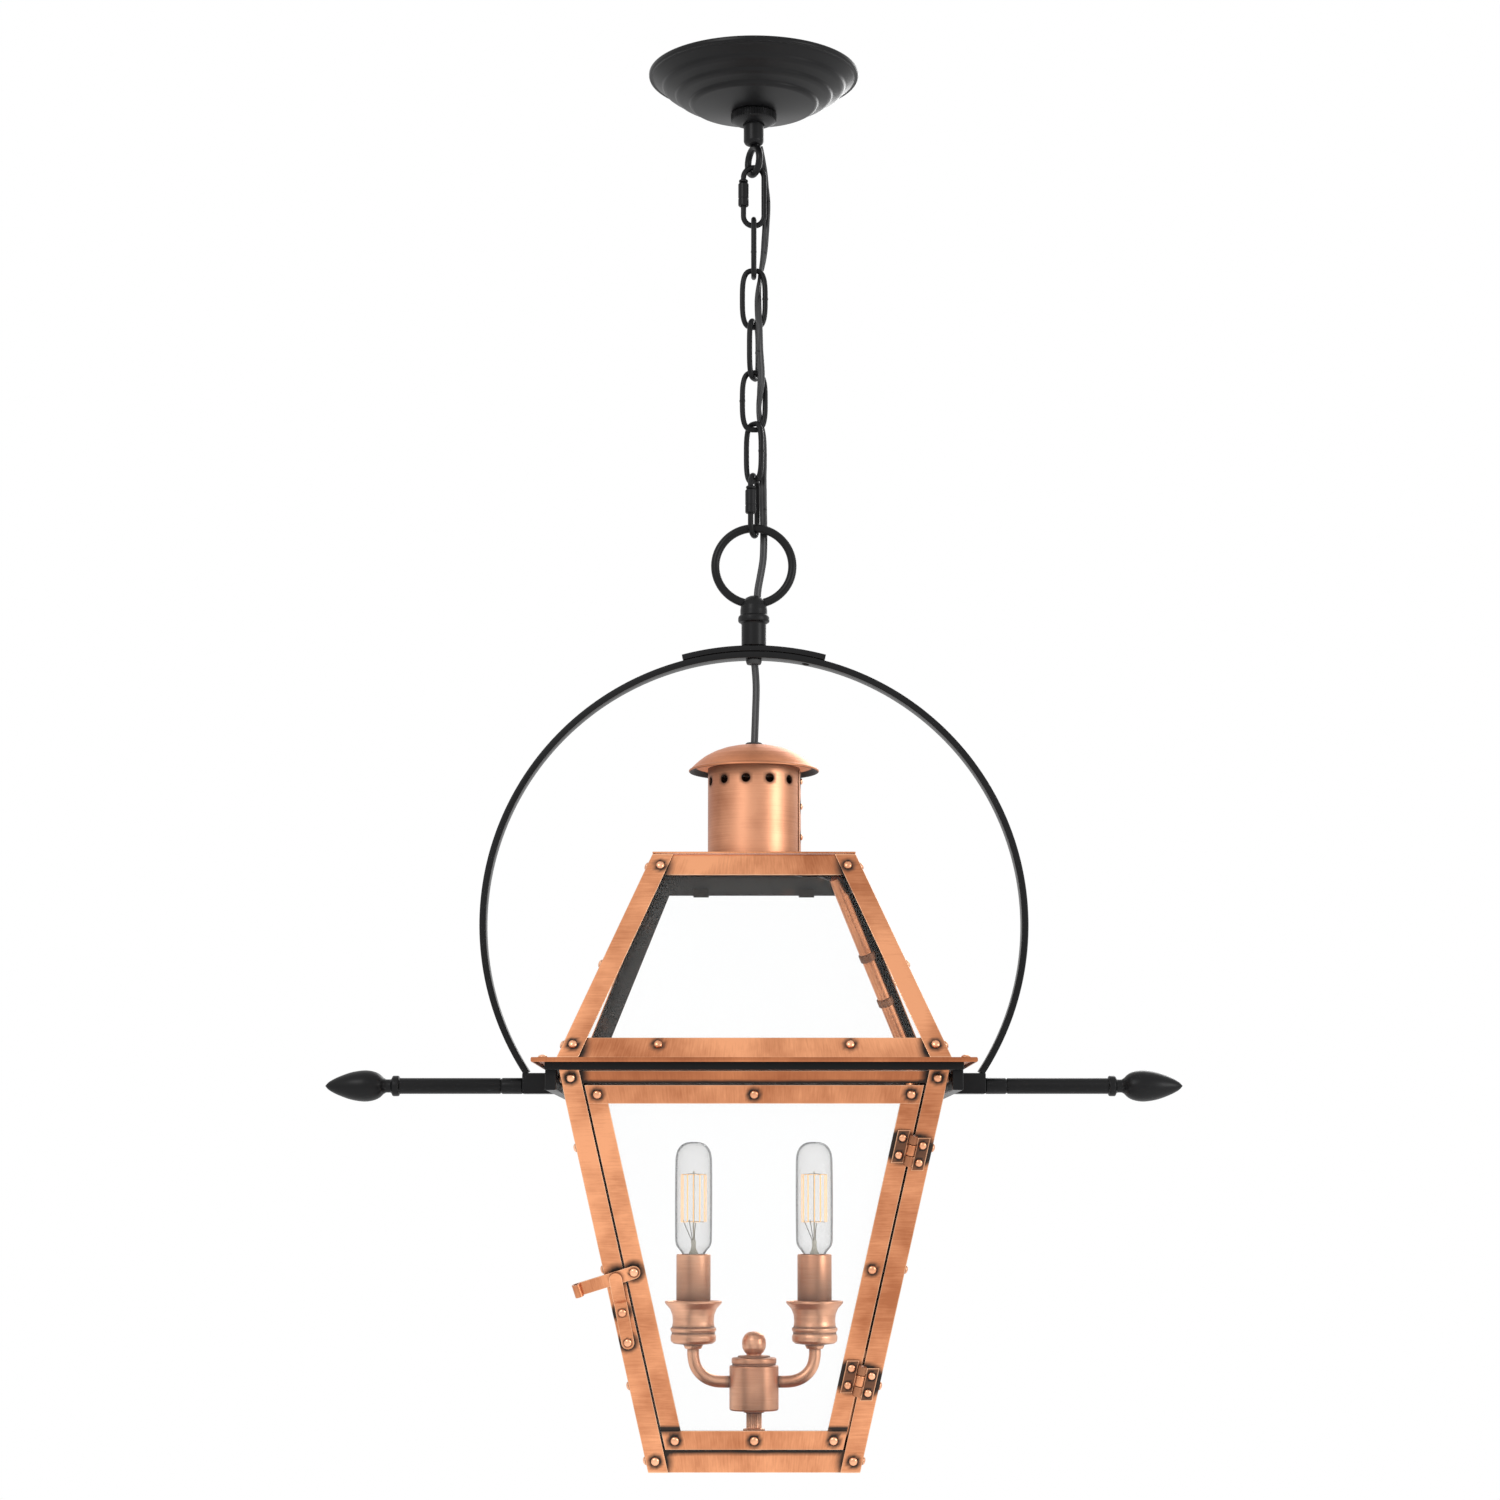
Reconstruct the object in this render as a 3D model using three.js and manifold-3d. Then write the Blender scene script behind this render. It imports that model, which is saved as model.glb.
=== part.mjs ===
// Hanging lantern: millimetres, +Z up, front towards -Y, origin at the centre of the ceiling plane.
import * as THREE from 'three';
import { mergeVertices } from 'three/addons/utils/BufferGeometryUtils.js';
import Module from 'manifold-3d';

const wasm = await Module();
wasm.setup();

// ---- Driving dimensions -------------------------------------------------------------------

const GAP = 0.3; // clearance between pieces that touch or carry each other

// Chain hardware: heights are the outer tops, one below the other.
const EYE = { top: -53.1, wire: 5, width: 24, yaw: -65 };
const RING = { wire: 6, width: 60 };
const QUICK = { length: 47, width: 18.5, wire: 3.9, split: 5.4 };
const LINK = { length: 45.2, width: 20, wire: 3.85, split: 0.3 };
const LINK_YAWS = [90, 0, 68, 5, -50];
const UPPER_QUICK_YAW = 0;
const LOWER_QUICK_YAW = 72;

// Hoop and yoke that carry the lantern.
const HOOP = { outer: 188.5, thick: 4.5, width: 15, centreZ: -609.7, endZ: -712.7 };
const SADDLE = { halfSpan: 49.6, thick: 3.9 };
const YOKE = { half: 134.4, inner: 127.5, top: -709.5, band: -715.7, side: -728.5 };
const BAR = { z: -721.6, start: 158.3 };

// Roof: a square taper from the chimney plate down to the eave.
const ROOF = { top: -569.5, bottom: -707.7, topHalf: 67.9, slope: 0.4298 };
const ROOF_RAIL = 13;
const HIP_WIDTH = 14;
const EAVE = { half: 142.7, opening: 122.8, top: -708, plate: 1.2, hem: 3 };

// Chimney.
const CHIMNEY = { outer: 31.85, wall: 1.2, bottom: -567.7, top: -503, ventZ: -513, vent: 3.1 };
const CAP = { radius: 45, rim: -505, top: -486.5, wall: 1.2 };

// Body: a square taper that narrows downwards.
const BODY = { top: -709.5, bottom: -973.9, bottomHalf: 68.9, slope: 0.2202 };
const POST_WIDTH = 13;
const SHEET = 1.2; // thickness of the copper strips, measured level
const RAIL_INSET = SHEET + GAP;
const GLASS_INSET = RAIL_INSET + SHEET + GAP;
const GLASS = 2;

// Door in the front face, with its hinge line down its right-hand edge.
const DOOR = { top: -725, bottom: -959.3, inset: 14.5, stile: 12.7, topRail: -737, bottomRail: -946.7 };
const HINGE = { upperZ: -766.5, lowerZ: -914, inset: 13.75, proud: 3, knuckle: 2.7, half: 10.5, reach: 11 };
const LATCH = { pivotX: -77.7, pivotZ: -844, length: 37.5, width: 8.4, droop: 17.5, thick: 1.4 };
const KEEPER = { width: 8.3, lowX: -81.2, lowZ: -893, highX: -89.8, highZ: -842.5, thick: 1.4 };

// Lamp cluster.
const CANDLE = { x: 41, radius: 11.6, bottom: -866, top: -835, bore: 6.9, floor: -861.6 };

const roofHalf = (z) => ROOF.topHalf + ROOF.slope * (ROOF.top - z);
const bodyHalf = (z) => BODY.bottomHalf + BODY.slope * (z - BODY.bottom);
const radians = THREE.MathUtils.degToRad;

// ---- Materials ----------------------------------------------------------------------------

const LOOKS = {
  black: [0x17181a, 0.45, 0.6],
  copper: [0xb8704a, 0.45, 0.9],
  glass: [0xdfe8ea, 0.05, 0.0],
  bulb: [0xf1efe8, 0.1, 0.0],
  cord: [0x151515, 0.6, 0.0],
  rubber: [0x1a1a1a, 0.8, 0.0],
};

function material(look) {
  const [color, roughness, metalness] = LOOKS[look];
  return new THREE.MeshStandardMaterial({ color, roughness, metalness });
}

// ---- Solids -------------------------------------------------------------------------------

function signedVolume(position, index) {
  const [a, b, c] = [new THREE.Vector3(), new THREE.Vector3(), new THREE.Vector3()];
  let volume = 0;
  for (let i = 0; i < index.length; i += 3) {
    a.fromBufferAttribute(position, index[i]);
    b.fromBufferAttribute(position, index[i + 1]);
    c.fromBufferAttribute(position, index[i + 2]);
    volume += a.dot(b.cross(c)) / 6;
  }
  return volume;
}

// Makes a solid of a closed geometry, with its faces turned outwards.
function solid(geometry) {
  const bare = geometry.clone();
  bare.deleteAttribute('normal');
  bare.deleteAttribute('uv');
  const merged = mergeVertices(bare, 1e-4);
  const position = merged.getAttribute('position');
  const index = [];
  for (let i = 0; i < merged.index.count; i += 3) {
    const corners = [0, 1, 2].map((k) => merged.index.getX(i + k));
    if (new Set(corners).size === 3) index.push(...corners);
  }
  if (signedVolume(position, index) < 0) index.reverse();
  return new wasm.Manifold(new wasm.Mesh({
    numProp: 3,
    vertProperties: new Float32Array(position.array),
    triVerts: new Uint32Array(index),
  }));
}

function geometryOf(body) {
  const { vertProperties, triVerts } = body.getMesh();
  const geometry = new THREE.BufferGeometry();
  geometry.setAttribute('position', new THREE.BufferAttribute(new Float32Array(vertProperties), 3));
  geometry.setIndex(new THREE.BufferAttribute(new Uint32Array(triVerts), 1));
  geometry.computeVertexNormals();
  return geometry;
}

const join = (first, ...rest) => rest.reduce((whole, piece) => whole.add(piece), first);

function box(x0, x1, y0, y1, z0, z1) {
  const geometry = new THREE.BoxGeometry(x1 - x0, y1 - y0, z1 - z0);
  return solid(geometry.translate((x0 + x1) / 2, (y0 + y1) / 2, (z0 + z1) / 2));
}

// Turns a profile of [radius, z] points about the Z axis.
function turned(profile, segments = 24) {
  const points = profile.map(([r, z]) => new THREE.Vector2(r, z));
  return solid(new THREE.LatheGeometry(points, segments).rotateX(Math.PI / 2));
}

// Turns a ring whose [radius, z] profile is a closed outline away from the axis.
const turnedRing = (profile, segments) => turned([...profile, profile[0]], segments);

// Square taper between two half-widths.
function taper(topHalf, bottomHalf, topZ, bottomZ) {
  const geometry = new THREE.CylinderGeometry(
    topHalf * Math.SQRT2, bottomHalf * Math.SQRT2, topZ - bottomZ, 4, 1,
  );
  geometry.rotateY(Math.PI / 4).rotateX(Math.PI / 2).translate(0, 0, (topZ + bottomZ) / 2);
  return solid(geometry);
}

// Hollow square band that follows a sloping wall, some way inside it.
function taperBand(half, topZ, bottomZ, inset, thick) {
  const outer = taper(half(topZ) - inset, half(bottomZ) - inset, topZ, bottomZ);
  const depth = inset + thick;
  const [over, under] = [topZ + 1, bottomZ - 1];
  return outer.subtract(taper(half(over) - depth, half(under) - depth, over, under));
}

// Moves each level of a geometry sideways by the given functions of z.
function lean(geometry, shiftX, shiftY) {
  const position = geometry.getAttribute('position');
  for (let i = 0; i < position.count; i += 1) {
    const z = position.getZ(i);
    position.setX(i, position.getX(i) + shiftX(z));
    position.setY(i, position.getY(i) + shiftY(z));
  }
  return geometry;
}

// Flat plate standing in the XZ plane: outline in (x, z), thickness towards +Y.
function plate(outline, thick) {
  const shape = new THREE.Shape(outline.map(([x, z]) => new THREE.Vector2(x, z)));
  const geometry = new THREE.ExtrudeGeometry(shape, { depth: thick, bevelEnabled: false });
  return geometry.rotateX(Math.PI / 2).translate(0, thick, 0);
}

// Symmetrical plate in the front wall, with its outer side some way inside the wall's face.
function wallPlate(half, topZ, bottomZ, sideInset, inset, thick) {
  const [top, bottom] = [half(topZ) - sideInset, half(bottomZ) - sideInset];
  const outline = [[-top, topZ], [-bottom, bottomZ], [bottom, bottomZ], [top, topZ]];
  return solid(lean(plate(outline, thick), () => 0, (z) => inset - half(z)));
}

// Angle strip with its outer corner on the +X+Y edge of a sloping wall.
function cornerStrip(half, topZ, bottomZ, width) {
  const outline = [
    [0, 0], [-width, 0], [-width, -SHEET], [-SHEET, -SHEET], [-SHEET, -width], [0, -width],
  ];
  const shape = new THREE.Shape(outline.map(([x, y]) => new THREE.Vector2(x, y)));
  const geometry = new THREE.ExtrudeGeometry(shape, { depth: topZ - bottomZ, bevelEnabled: false });
  return solid(lean(geometry.translate(0, 0, bottomZ), half, half));
}

// Round bar swept along a path.
function swept(path, radius, steps, quarters = 2) {
  const shape = new THREE.Shape().absarc(0, 0, radius, 0, 2 * Math.PI, false);
  return solid(new THREE.ExtrudeGeometry(shape, {
    steps, curveSegments: quarters * 2, bevelEnabled: false, extrudePath: path,
  }));
}

const smoothPath = (points) => new THREE.CatmullRomCurve3(
  points.map(([x, y, z]) => new THREE.Vector3(x, y, z)), false, 'centripetal',
);

// Low rivet head standing on a surface.
function rivet(at, normal, radius = 2.6, height = 1.3) {
  const head = new THREE.CylinderGeometry(radius * 0.5, radius, height + 0.4, 8);
  head.translate(0, (height - 0.4) / 2, 0);
  const outward = new THREE.Vector3(...normal).normalize();
  head.applyQuaternion(new THREE.Quaternion().setFromUnitVectors(new THREE.Vector3(0, 1, 0), outward));
  return solid(head.translate(...at));
}

// Rivet heads on the two faces of a +X+Y corner strip, the given way in from the corner.
function cornerRivets(half, slopeOut, levels, inset) {
  return levels.flatMap((z) => [
    rivet([half(z), half(z) - inset, z], [1, 0, slopeOut]),
    rivet([half(z) - inset, half(z), z], [0, 1, slopeOut]),
  ]);
}

// ---- Nodes --------------------------------------------------------------------------------

const lantern = new THREE.Group();
lantern.name = 'hanging_lantern';

function add(name, body, look, { at = [0, 0, 0], turn = 0 } = {}) {
  const mesh = new THREE.Mesh(geometryOf(body), material(look));
  mesh.name = name;
  mesh.position.set(...at);
  mesh.rotation.z = radians(turn);
  lantern.add(mesh);
}

// ---- Ceiling parts ------------------------------------------------------------------------

function addCeilingParts() {
  add('crossbar', box(-48, 48, -7, 7, -2.8, 0), 'black');
  add('threaded_nipple', turned([[0, -3.1], [4.7, -3.1], [4.7, -13.7], [0, -13.7]], 16), 'black');
  add('canopy', turnedRing([
    [7.7, -29.4], [16, -29.4], [46, -23.4], [47.4, -21.6], [56, -18], [57.4, -16.2],
    [65, -11.5], [66.4, -9.6], [75, -3], [75, 0],
    [73.6, 0], [73.6, -2.2], [65.2, -8.4], [63.8, -10.3], [56.2, -15], [54.8, -16.8],
    [46.2, -20.4], [45, -22.2], [15.8, -28], [7.7, -28],
  ], 28), 'black');
  add('canopy_collar', turnedRing([
    [7.7, -29.7], [16.35, -29.7], [16.35, -35.8], [10, -38.2], [7.7, -38.2],
  ], 20), 'black');
  const radius = (EYE.width - EYE.wire) / 2;
  const eye = new THREE.TorusGeometry(radius, EYE.wire / 2, 8, 20).rotateX(Math.PI / 2);
  eye.rotateZ(radians(EYE.yaw)).translate(0, 0, EYE.top - EYE.width / 2);
  const neck = turned([[0, -14], [7.2, -14], [7.2, -52], [6, -53.5], [0, -53.5]], 20);
  add('canopy_loop', join(neck, solid(eye)), 'black');
}

// ---- Chain --------------------------------------------------------------------------------

class ArcXZ extends THREE.Curve {
  constructor(centreZ, radius, from, to) {
    super();
    Object.assign(this, { centreZ, radius, from, to });
  }

  getPoint(t, target = new THREE.Vector3()) {
    const angle = this.from + t * (this.to - this.from);
    return target.set(this.radius * Math.cos(angle), 0, this.centreZ + this.radius * Math.sin(angle));
  }
}

// Long ring in the XZ plane with a split in its -X leg, centred on the origin.
function splitRing({ length, width, wire, split }, splitZ) {
  const radius = (width - wire) / 2;
  const straight = (length - width) / 2;
  const leg = (side, from, to) => new THREE.LineCurve3(
    new THREE.Vector3(side * radius, 0, from), new THREE.Vector3(side * radius, 0, to),
  );
  const path = new THREE.CurvePath();
  path.add(leg(-1, splitZ + split / 2, straight));
  path.add(new ArcXZ(straight, radius, Math.PI, 0));
  path.add(leg(1, straight, -straight));
  path.add(new ArcXZ(-straight, radius, 0, -Math.PI));
  path.add(leg(-1, -straight, splitZ - split / 2));
  return swept(path, wire / 2, 24);
}

// Sleeve nut that closes a quick link's split, with its axis on the -X leg.
function sleeveNut() {
  const legX = -(QUICK.width - QUICK.wire) / 2;
  const bore = QUICK.wire / 2 + GAP;
  const sleeve = turnedRing([[bore, -8.5], [3.8, -8.5], [3.8, 8.5], [bore, 8.5]], 12);
  return sleeve.translate(legX, 0, 0);
}

function addQuickLink(name, top, yaw) {
  const centre = top - QUICK.length / 2;
  const nutZ = 1.4;
  const splitZ = nutZ + 4.7; // the upper part of the nut covers the split
  add(`${name}_quick_link`, splitRing(QUICK, splitZ), 'black', { at: [0, 0, centre], turn: yaw });
  add(`${name}_nut`, sleeveNut(), 'black', { at: [0, 0, centre + nutZ], turn: yaw });
}

function addChain() {
  let wireTop = EYE.top - EYE.width + EYE.wire; // upper side of the wire that carries the next ring
  const next = (wire) => wireTop + GAP + wire;
  const hang = ({ length, wire }) => {
    wireTop = next(wire) - length + wire;
  };
  addQuickLink('upper', next(QUICK.wire), UPPER_QUICK_YAW);
  hang(QUICK);
  LINK_YAWS.forEach((yaw, i) => {
    const centre = next(LINK.wire) - LINK.length / 2;
    add(`chain_link_${i + 1}`, splitRing(LINK, 0), 'black', { at: [0, 0, centre], turn: yaw });
    hang(LINK);
  });
  addQuickLink('lower', next(QUICK.wire), LOWER_QUICK_YAW);
  hang(QUICK);
  addSuspensionHub(next(RING.wire));
}

// ---- Suspension ---------------------------------------------------------------------------

function addSuspensionHub(ringTop) {
  const ring = new THREE.TorusGeometry((RING.width - RING.wire) / 2, RING.wire / 2, 8, 28);
  ring.rotateX(Math.PI / 2).translate(0, 0, ringTop - RING.width / 2);
  const hub = turned([
    [0, -383], [5, -384.2], [8, -386.8], [9.5, -390], [9.5, -395.4], [11, -396.4], [11, -399],
    [9.5, -400], [8.65, -401], [8.65, -416.7], [0, -416.7],
  ]);
  add('suspension_hub', join(hub, solid(ring)), 'black');
}

// Arched band about the hoop's centre, kept inside a box.
function archBand(inner, outer, limits) {
  const shape = new THREE.Shape().absarc(0, 0, outer, 0, 2 * Math.PI, false);
  shape.holes.push(new THREE.Path().absarc(0, 0, inner, 0, 2 * Math.PI, true));
  const geometry = new THREE.ExtrudeGeometry(shape, {
    depth: HOOP.width, curveSegments: 30, bevelEnabled: false,
  });
  geometry.translate(0, 0, -HOOP.width / 2).rotateX(Math.PI / 2).translate(0, 0, HOOP.centreZ);
  return solid(geometry).intersect(limits);
}

function addHoop() {
  const reach = HOOP.outer + 20;
  const above = box(-reach, reach, -20, 20, HOOP.endZ, 0);
  const middle = box(-SADDLE.halfSpan, SADDLE.halfSpan, -20, 20, HOOP.centreZ, 0);
  add('hoop', archBand(HOOP.outer - HOOP.thick, HOOP.outer, above), 'black');
  const seat = HOOP.outer + GAP;
  add('saddle_plate', archBand(seat, seat + SADDLE.thick, middle), 'black');
  add('hoop_bushing', turnedRing([[2.6, -426], [5.5, -426], [5, -429.5], [2.6, -429.5]], 16), 'rubber');
}

function addYoke() {
  const blocks = box(-158, 158, -7.5, 7.5, -727, -713);
  const ring = box(-YOKE.half, YOKE.half, -YOKE.half, YOKE.half, YOKE.side, YOKE.top);
  const hole = box(-YOKE.inner, YOKE.inner, -YOKE.inner, YOKE.inner, YOKE.side - 1, YOKE.top + 1);
  const underFront = box(-YOKE.inner, YOKE.inner, -200, 200, YOKE.side - 1, YOKE.band);
  add('yoke_frame', join(ring, blocks).subtract(hole).subtract(underFront), 'black');
}

function addBars() {
  const profile = [
    [0, 0], [5.5, 0], [5.5, 13.8], [4.6, 14.2], [5.4, 14.8], [5.4, 84], [7, 84.4], [7, 88.4],
    [4.5, 89.5], [4.5, 94], [7.6, 97.5], [10, 102.5], [10.6, 108], [9.6, 116], [7.4, 123],
    [4.4, 129], [0, 134.7],
  ];
  const bar = turned(profile, 16);
  add('side_bar_right', bar.rotate([0, 90, 0]).translate(BAR.start, 0, BAR.z), 'black');
  add('side_bar_left', bar.rotate([0, -90, 0]).translate(-BAR.start, 0, BAR.z), 'black');
}

// ---- Roof and chimney ---------------------------------------------------------------------

const CORNERS = ['back_right', 'back_left', 'front_left', 'front_right'];
const SIDES = ['front', 'right', 'back', 'left'];

function addRoof() {
  add('roof_top_rail', taperBand(roofHalf, -571, -571 - ROOF_RAIL, RAIL_INSET, SHEET), 'copper');
  add('roof_base_rail', taperBand(roofHalf, -694.5, -707.5, RAIL_INSET, SHEET), 'copper');
  const hip = join(
    cornerStrip(roofHalf, ROOF.top, ROOF.bottom, HIP_WIDTH),
    ...cornerRivets(roofHalf, ROOF.slope, [-577.5, -699], HIP_WIDTH / 2),
  );
  const pane = wallPlate(roofHalf, -572, -706.5, GLASS_INSET + GLASS + GAP, GLASS_INSET, GLASS);
  CORNERS.forEach((corner, i) => add(`roof_hip_${corner}`, hip, 'copper', { turn: 90 * i }));
  SIDES.forEach((side, i) => add(`roof_glass_${side}`, pane, 'glass', { turn: 90 * i }));
}

function addEave() {
  const { half, opening, top, hem } = EAVE;
  const slab = box(-half, half, -half, half, top - hem, top);
  const under = box(-half + 1.5, half - 1.5, -half + 1.5, half - 1.5, top - hem - 1, top - EAVE.plate);
  const hole = box(-opening, opening, -opening, opening, top - hem - 1, top + 1);
  add('eave_flange', slab.subtract(under).subtract(hole), 'copper');
}

function addChimney() {
  const { outer, wall, bottom, top, ventZ, vent } = CHIMNEY;
  const inner = outer - wall;
  let tube = turnedRing([[inner, bottom], [outer, bottom], [outer, top], [inner, top]], 36);
  for (let i = 0; i < 6; i += 1) {
    const drill = new THREE.CylinderGeometry(vent, vent, 4 * outer, 8).rotateZ(radians(20 + 30 * i));
    tube = tube.subtract(solid(drill.rotateX(Math.PI / 2).translate(0, 0, ventZ)));
  }
  add('chimney_tube', tube, 'copper');
  const half = ROOF.topHalf;
  const hole = turned([[0, -571], [30, -571], [30, -566], [0, -566]], 32);
  add('roof_top_plate', box(-half, half, -half, half, -569.2, -568).subtract(hole), 'copper');
  add('chimney_cap', turnedRing([
    [3.6, -486.5], [12, -487], [24, -489.6], [34, -494], [41, -499.2], [45, -505],
    [43.7, -505.4], [40, -500.1], [33.3, -495.1], [23.7, -490.8], [11.9, -488.2], [3.6, -487.7],
  ], 28), 'copper');
  const strip = box(-29.6, 29.6, -6, 6, -508, -506);
  const stand = turned([[0, -506.5], [5, -506.5], [5, -492], [0, -492]], 12);
  add('cap_support', join(strip, stand), 'copper');
  add('cap_grommet', turned([
    [0, -490.5], [3.2, -490.5], [3.2, -486.2], [6, -486.2], [5.2, -484.7], [0, -484.7],
  ], 16), 'rubber');
}

// ---- Body ---------------------------------------------------------------------------------

// Middle of a hinge, on the pin line in front of the wall.
function hingeMiddle(z) {
  const half = bodyHalf(z);
  return { x: half - HINGE.inset, y: -half - HINGE.proud, z };
}

// Cylinder of a hinge knuckle along the hinge line, between two offsets from the hinge's middle.
function knuckle(middle, from, to, radius = HINGE.knuckle) {
  const at = (s) => new THREE.Vector3(
    middle.x + BODY.slope * s, middle.y - BODY.slope * s, middle.z + s,
  );
  return swept(new THREE.LineCurve3(at(from), at(to)), radius, 1);
}

// Plate on the front wall: levels from the hinge's middle, x from the hinge line.
function hingePlate(middle, from, to, x0, x1) {
  const [low, high] = [middle.z + from, middle.z + to];
  const outline = [[x0, low], [x1, low], [x1, high], [x0, high]];
  const lineX = (z) => bodyHalf(z) - HINGE.inset;
  return solid(lean(plate(outline, 1.6), lineX, (z) => -bodyHalf(z) - 1.3));
}

const FACE_OUT = [0, -1, -BODY.slope];

function hingeRivets(middle, side, offsets) {
  return offsets.map((dz) => {
    const z = middle.z + dz;
    return rivet([bodyHalf(z) - HINGE.inset + side * 7, -bodyHalf(z) - 1.3, z], FACE_OUT, 2.6, 1.6);
  });
}

// Post half of a hinge: one leaf with a knuckle at each end of the pin.
function postHinge(z) {
  const middle = hingeMiddle(z);
  const { half, reach } = HINGE;
  return [
    hingePlate(middle, -half - 2.5, half - 2.5, 3.1, reach),
    hingePlate(middle, -half, -4.7, -0.4, 3.3),
    hingePlate(middle, 4.7, half - 2.5, -0.4, 3.3),
    knuckle(middle, -half, -3.9),
    knuckle(middle, 3.9, half - 1),
    ...hingeRivets(middle, 1, [-8, 3]),
  ];
}

function addBodyFrame() {
  add('body_top_rail', taperBand(bodyHalf, -716, -724, RAIL_INSET, SHEET), 'copper');
  add('body_base_rail', taperBand(bodyHalf, -959.7, -973.9, RAIL_INSET, SHEET), 'copper');
  const strip = cornerStrip(bodyHalf, BODY.top, BODY.bottom, POST_WIDTH);
  const post = join(strip, ...cornerRivets(bodyHalf, -BODY.slope, [-720, -967], POST_WIDTH / 2));
  CORNERS.forEach((corner, i) => {
    if (corner !== 'front_right') add(`post_${corner}`, post, 'copper', { turn: 90 * i });
  });
  const hinges = [HINGE.upperZ, HINGE.lowerZ].flatMap(postHinge);
  add('post_front_right', join(post.rotate([0, 0, -90]), ...hinges), 'copper');
  const pane = wallPlate(bodyHalf, -711, -970.8, GLASS_INSET + GLASS + GAP, GLASS_INSET, GLASS);
  SIDES.forEach((side, i) => {
    if (side !== 'front') add(`body_glass_${side}`, pane, 'glass', { turn: 90 * i });
  });
  add('floor_plate', box(-66, 66, -66, 66, -972.6, -971.2), 'copper');
}

// ---- Door and latch -----------------------------------------------------------------------

// Door half of a hinge: one leaf with the middle knuckle.
function doorHinge(z) {
  const middle = hingeMiddle(z);
  const { half, reach } = HINGE;
  return [
    hingePlate(middle, 2.5 - half, half + 2.5, -reach, -3.1),
    hingePlate(middle, -2.6, 2.6, -3.3, 0.4),
    knuckle(middle, -3.5, 3.5),
    ...hingeRivets(middle, -1, [-3, 8]),
  ];
}

function addDoor() {
  const { top, bottom, inset, stile, topRail, bottomRail } = DOOR;
  const sheet = wallPlate(bodyHalf, top, bottom, inset, 0, SHEET);
  const hole = wallPlate(bodyHalf, topRail, bottomRail, inset + stile, -2, SHEET + 4);
  const frame = join(sheet.subtract(hole), ...[HINGE.upperZ, HINGE.lowerZ].flatMap(doorHinge));
  const studZ = LATCH.pivotZ;
  const stud = rivet([LATCH.pivotX, -bodyHalf(studZ), studZ], FACE_OUT, 1.6, 1.4);
  add('door_frame', join(frame, stud), 'copper');
  add('door_glass', wallPlate(bodyHalf, -727, -957.5, inset + 1.5, SHEET + GAP, GLASS), 'glass');
}

// Turns a flat XY shape up into the front wall's plane, its thickness outwards.
const FACE_TURN = [90 + THREE.MathUtils.radToDeg(Math.atan(BODY.slope)), 0, 0];

// Latch arm: pivots on the door and droops to the left behind the keeper's free end.
function addLatch() {
  const { pivotX, pivotZ, length, width, droop, thick } = LATCH;
  const arm = new THREE.Shape();
  arm.absarc(0, 0, width / 2, -Math.PI / 2, Math.PI / 2, false);
  arm.lineTo(-length, width / 2);
  arm.lineTo(-length, -width / 2);
  const flat = new THREE.ExtrudeGeometry(arm, { depth: thick, bevelEnabled: false, curveSegments: 8 });
  const curl = new THREE.CylinderGeometry(2.6, 2.6, width, 12);
  curl.translate(-length, 0, 2.2);
  const whole = join(solid(flat), solid(curl), rivet([0, 0, thick], [0, 0, 1], 2.8, 1.6));
  const placed = whole.rotate([0, 0, droop]).rotate(FACE_TURN);
  const standOff = 2.2;
  add('latch_arm', placed.translate(pivotX, -bodyHalf(pivotZ) - standOff, pivotZ), 'copper');
}

// Keeper strip: riveted to the left post, with its free top end standing off in front of the arm.
function addKeeper() {
  const { width, lowX, lowZ, highX, highZ, thick } = KEEPER;
  const length = Math.hypot(highX - lowX, highZ - lowZ);
  const section = [
    [0, 0.3], [30, 0.3], [36, 4.4], [length, 4.4], [length, 4.4 + thick], [35.2, 4.4 + thick],
    [29.2, 0.3 + thick], [0, 0.3 + thick],
  ];
  const shape = new THREE.Shape(section.map(([s, out]) => new THREE.Vector2(s, out)));
  const strip = new THREE.ExtrudeGeometry(shape, { depth: width, bevelEnabled: false });
  strip.translate(0, 0, -width / 2).rotateX(Math.PI / 2);
  const angle = THREE.MathUtils.radToDeg(Math.atan2(highZ - lowZ, highX - lowX));
  const heads = [6, 26].map((s) => rivet([s, 0, 0.3 + thick], [0, 0, 1], 2.6, 1.5));
  const placed = join(solid(strip), ...heads).rotate([0, 0, angle]).rotate(FACE_TURN);
  add('latch_keeper', placed.translate(lowX, -bodyHalf(lowZ), lowZ), 'copper');
}

// ---- Lamp cluster -------------------------------------------------------------------------

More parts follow.
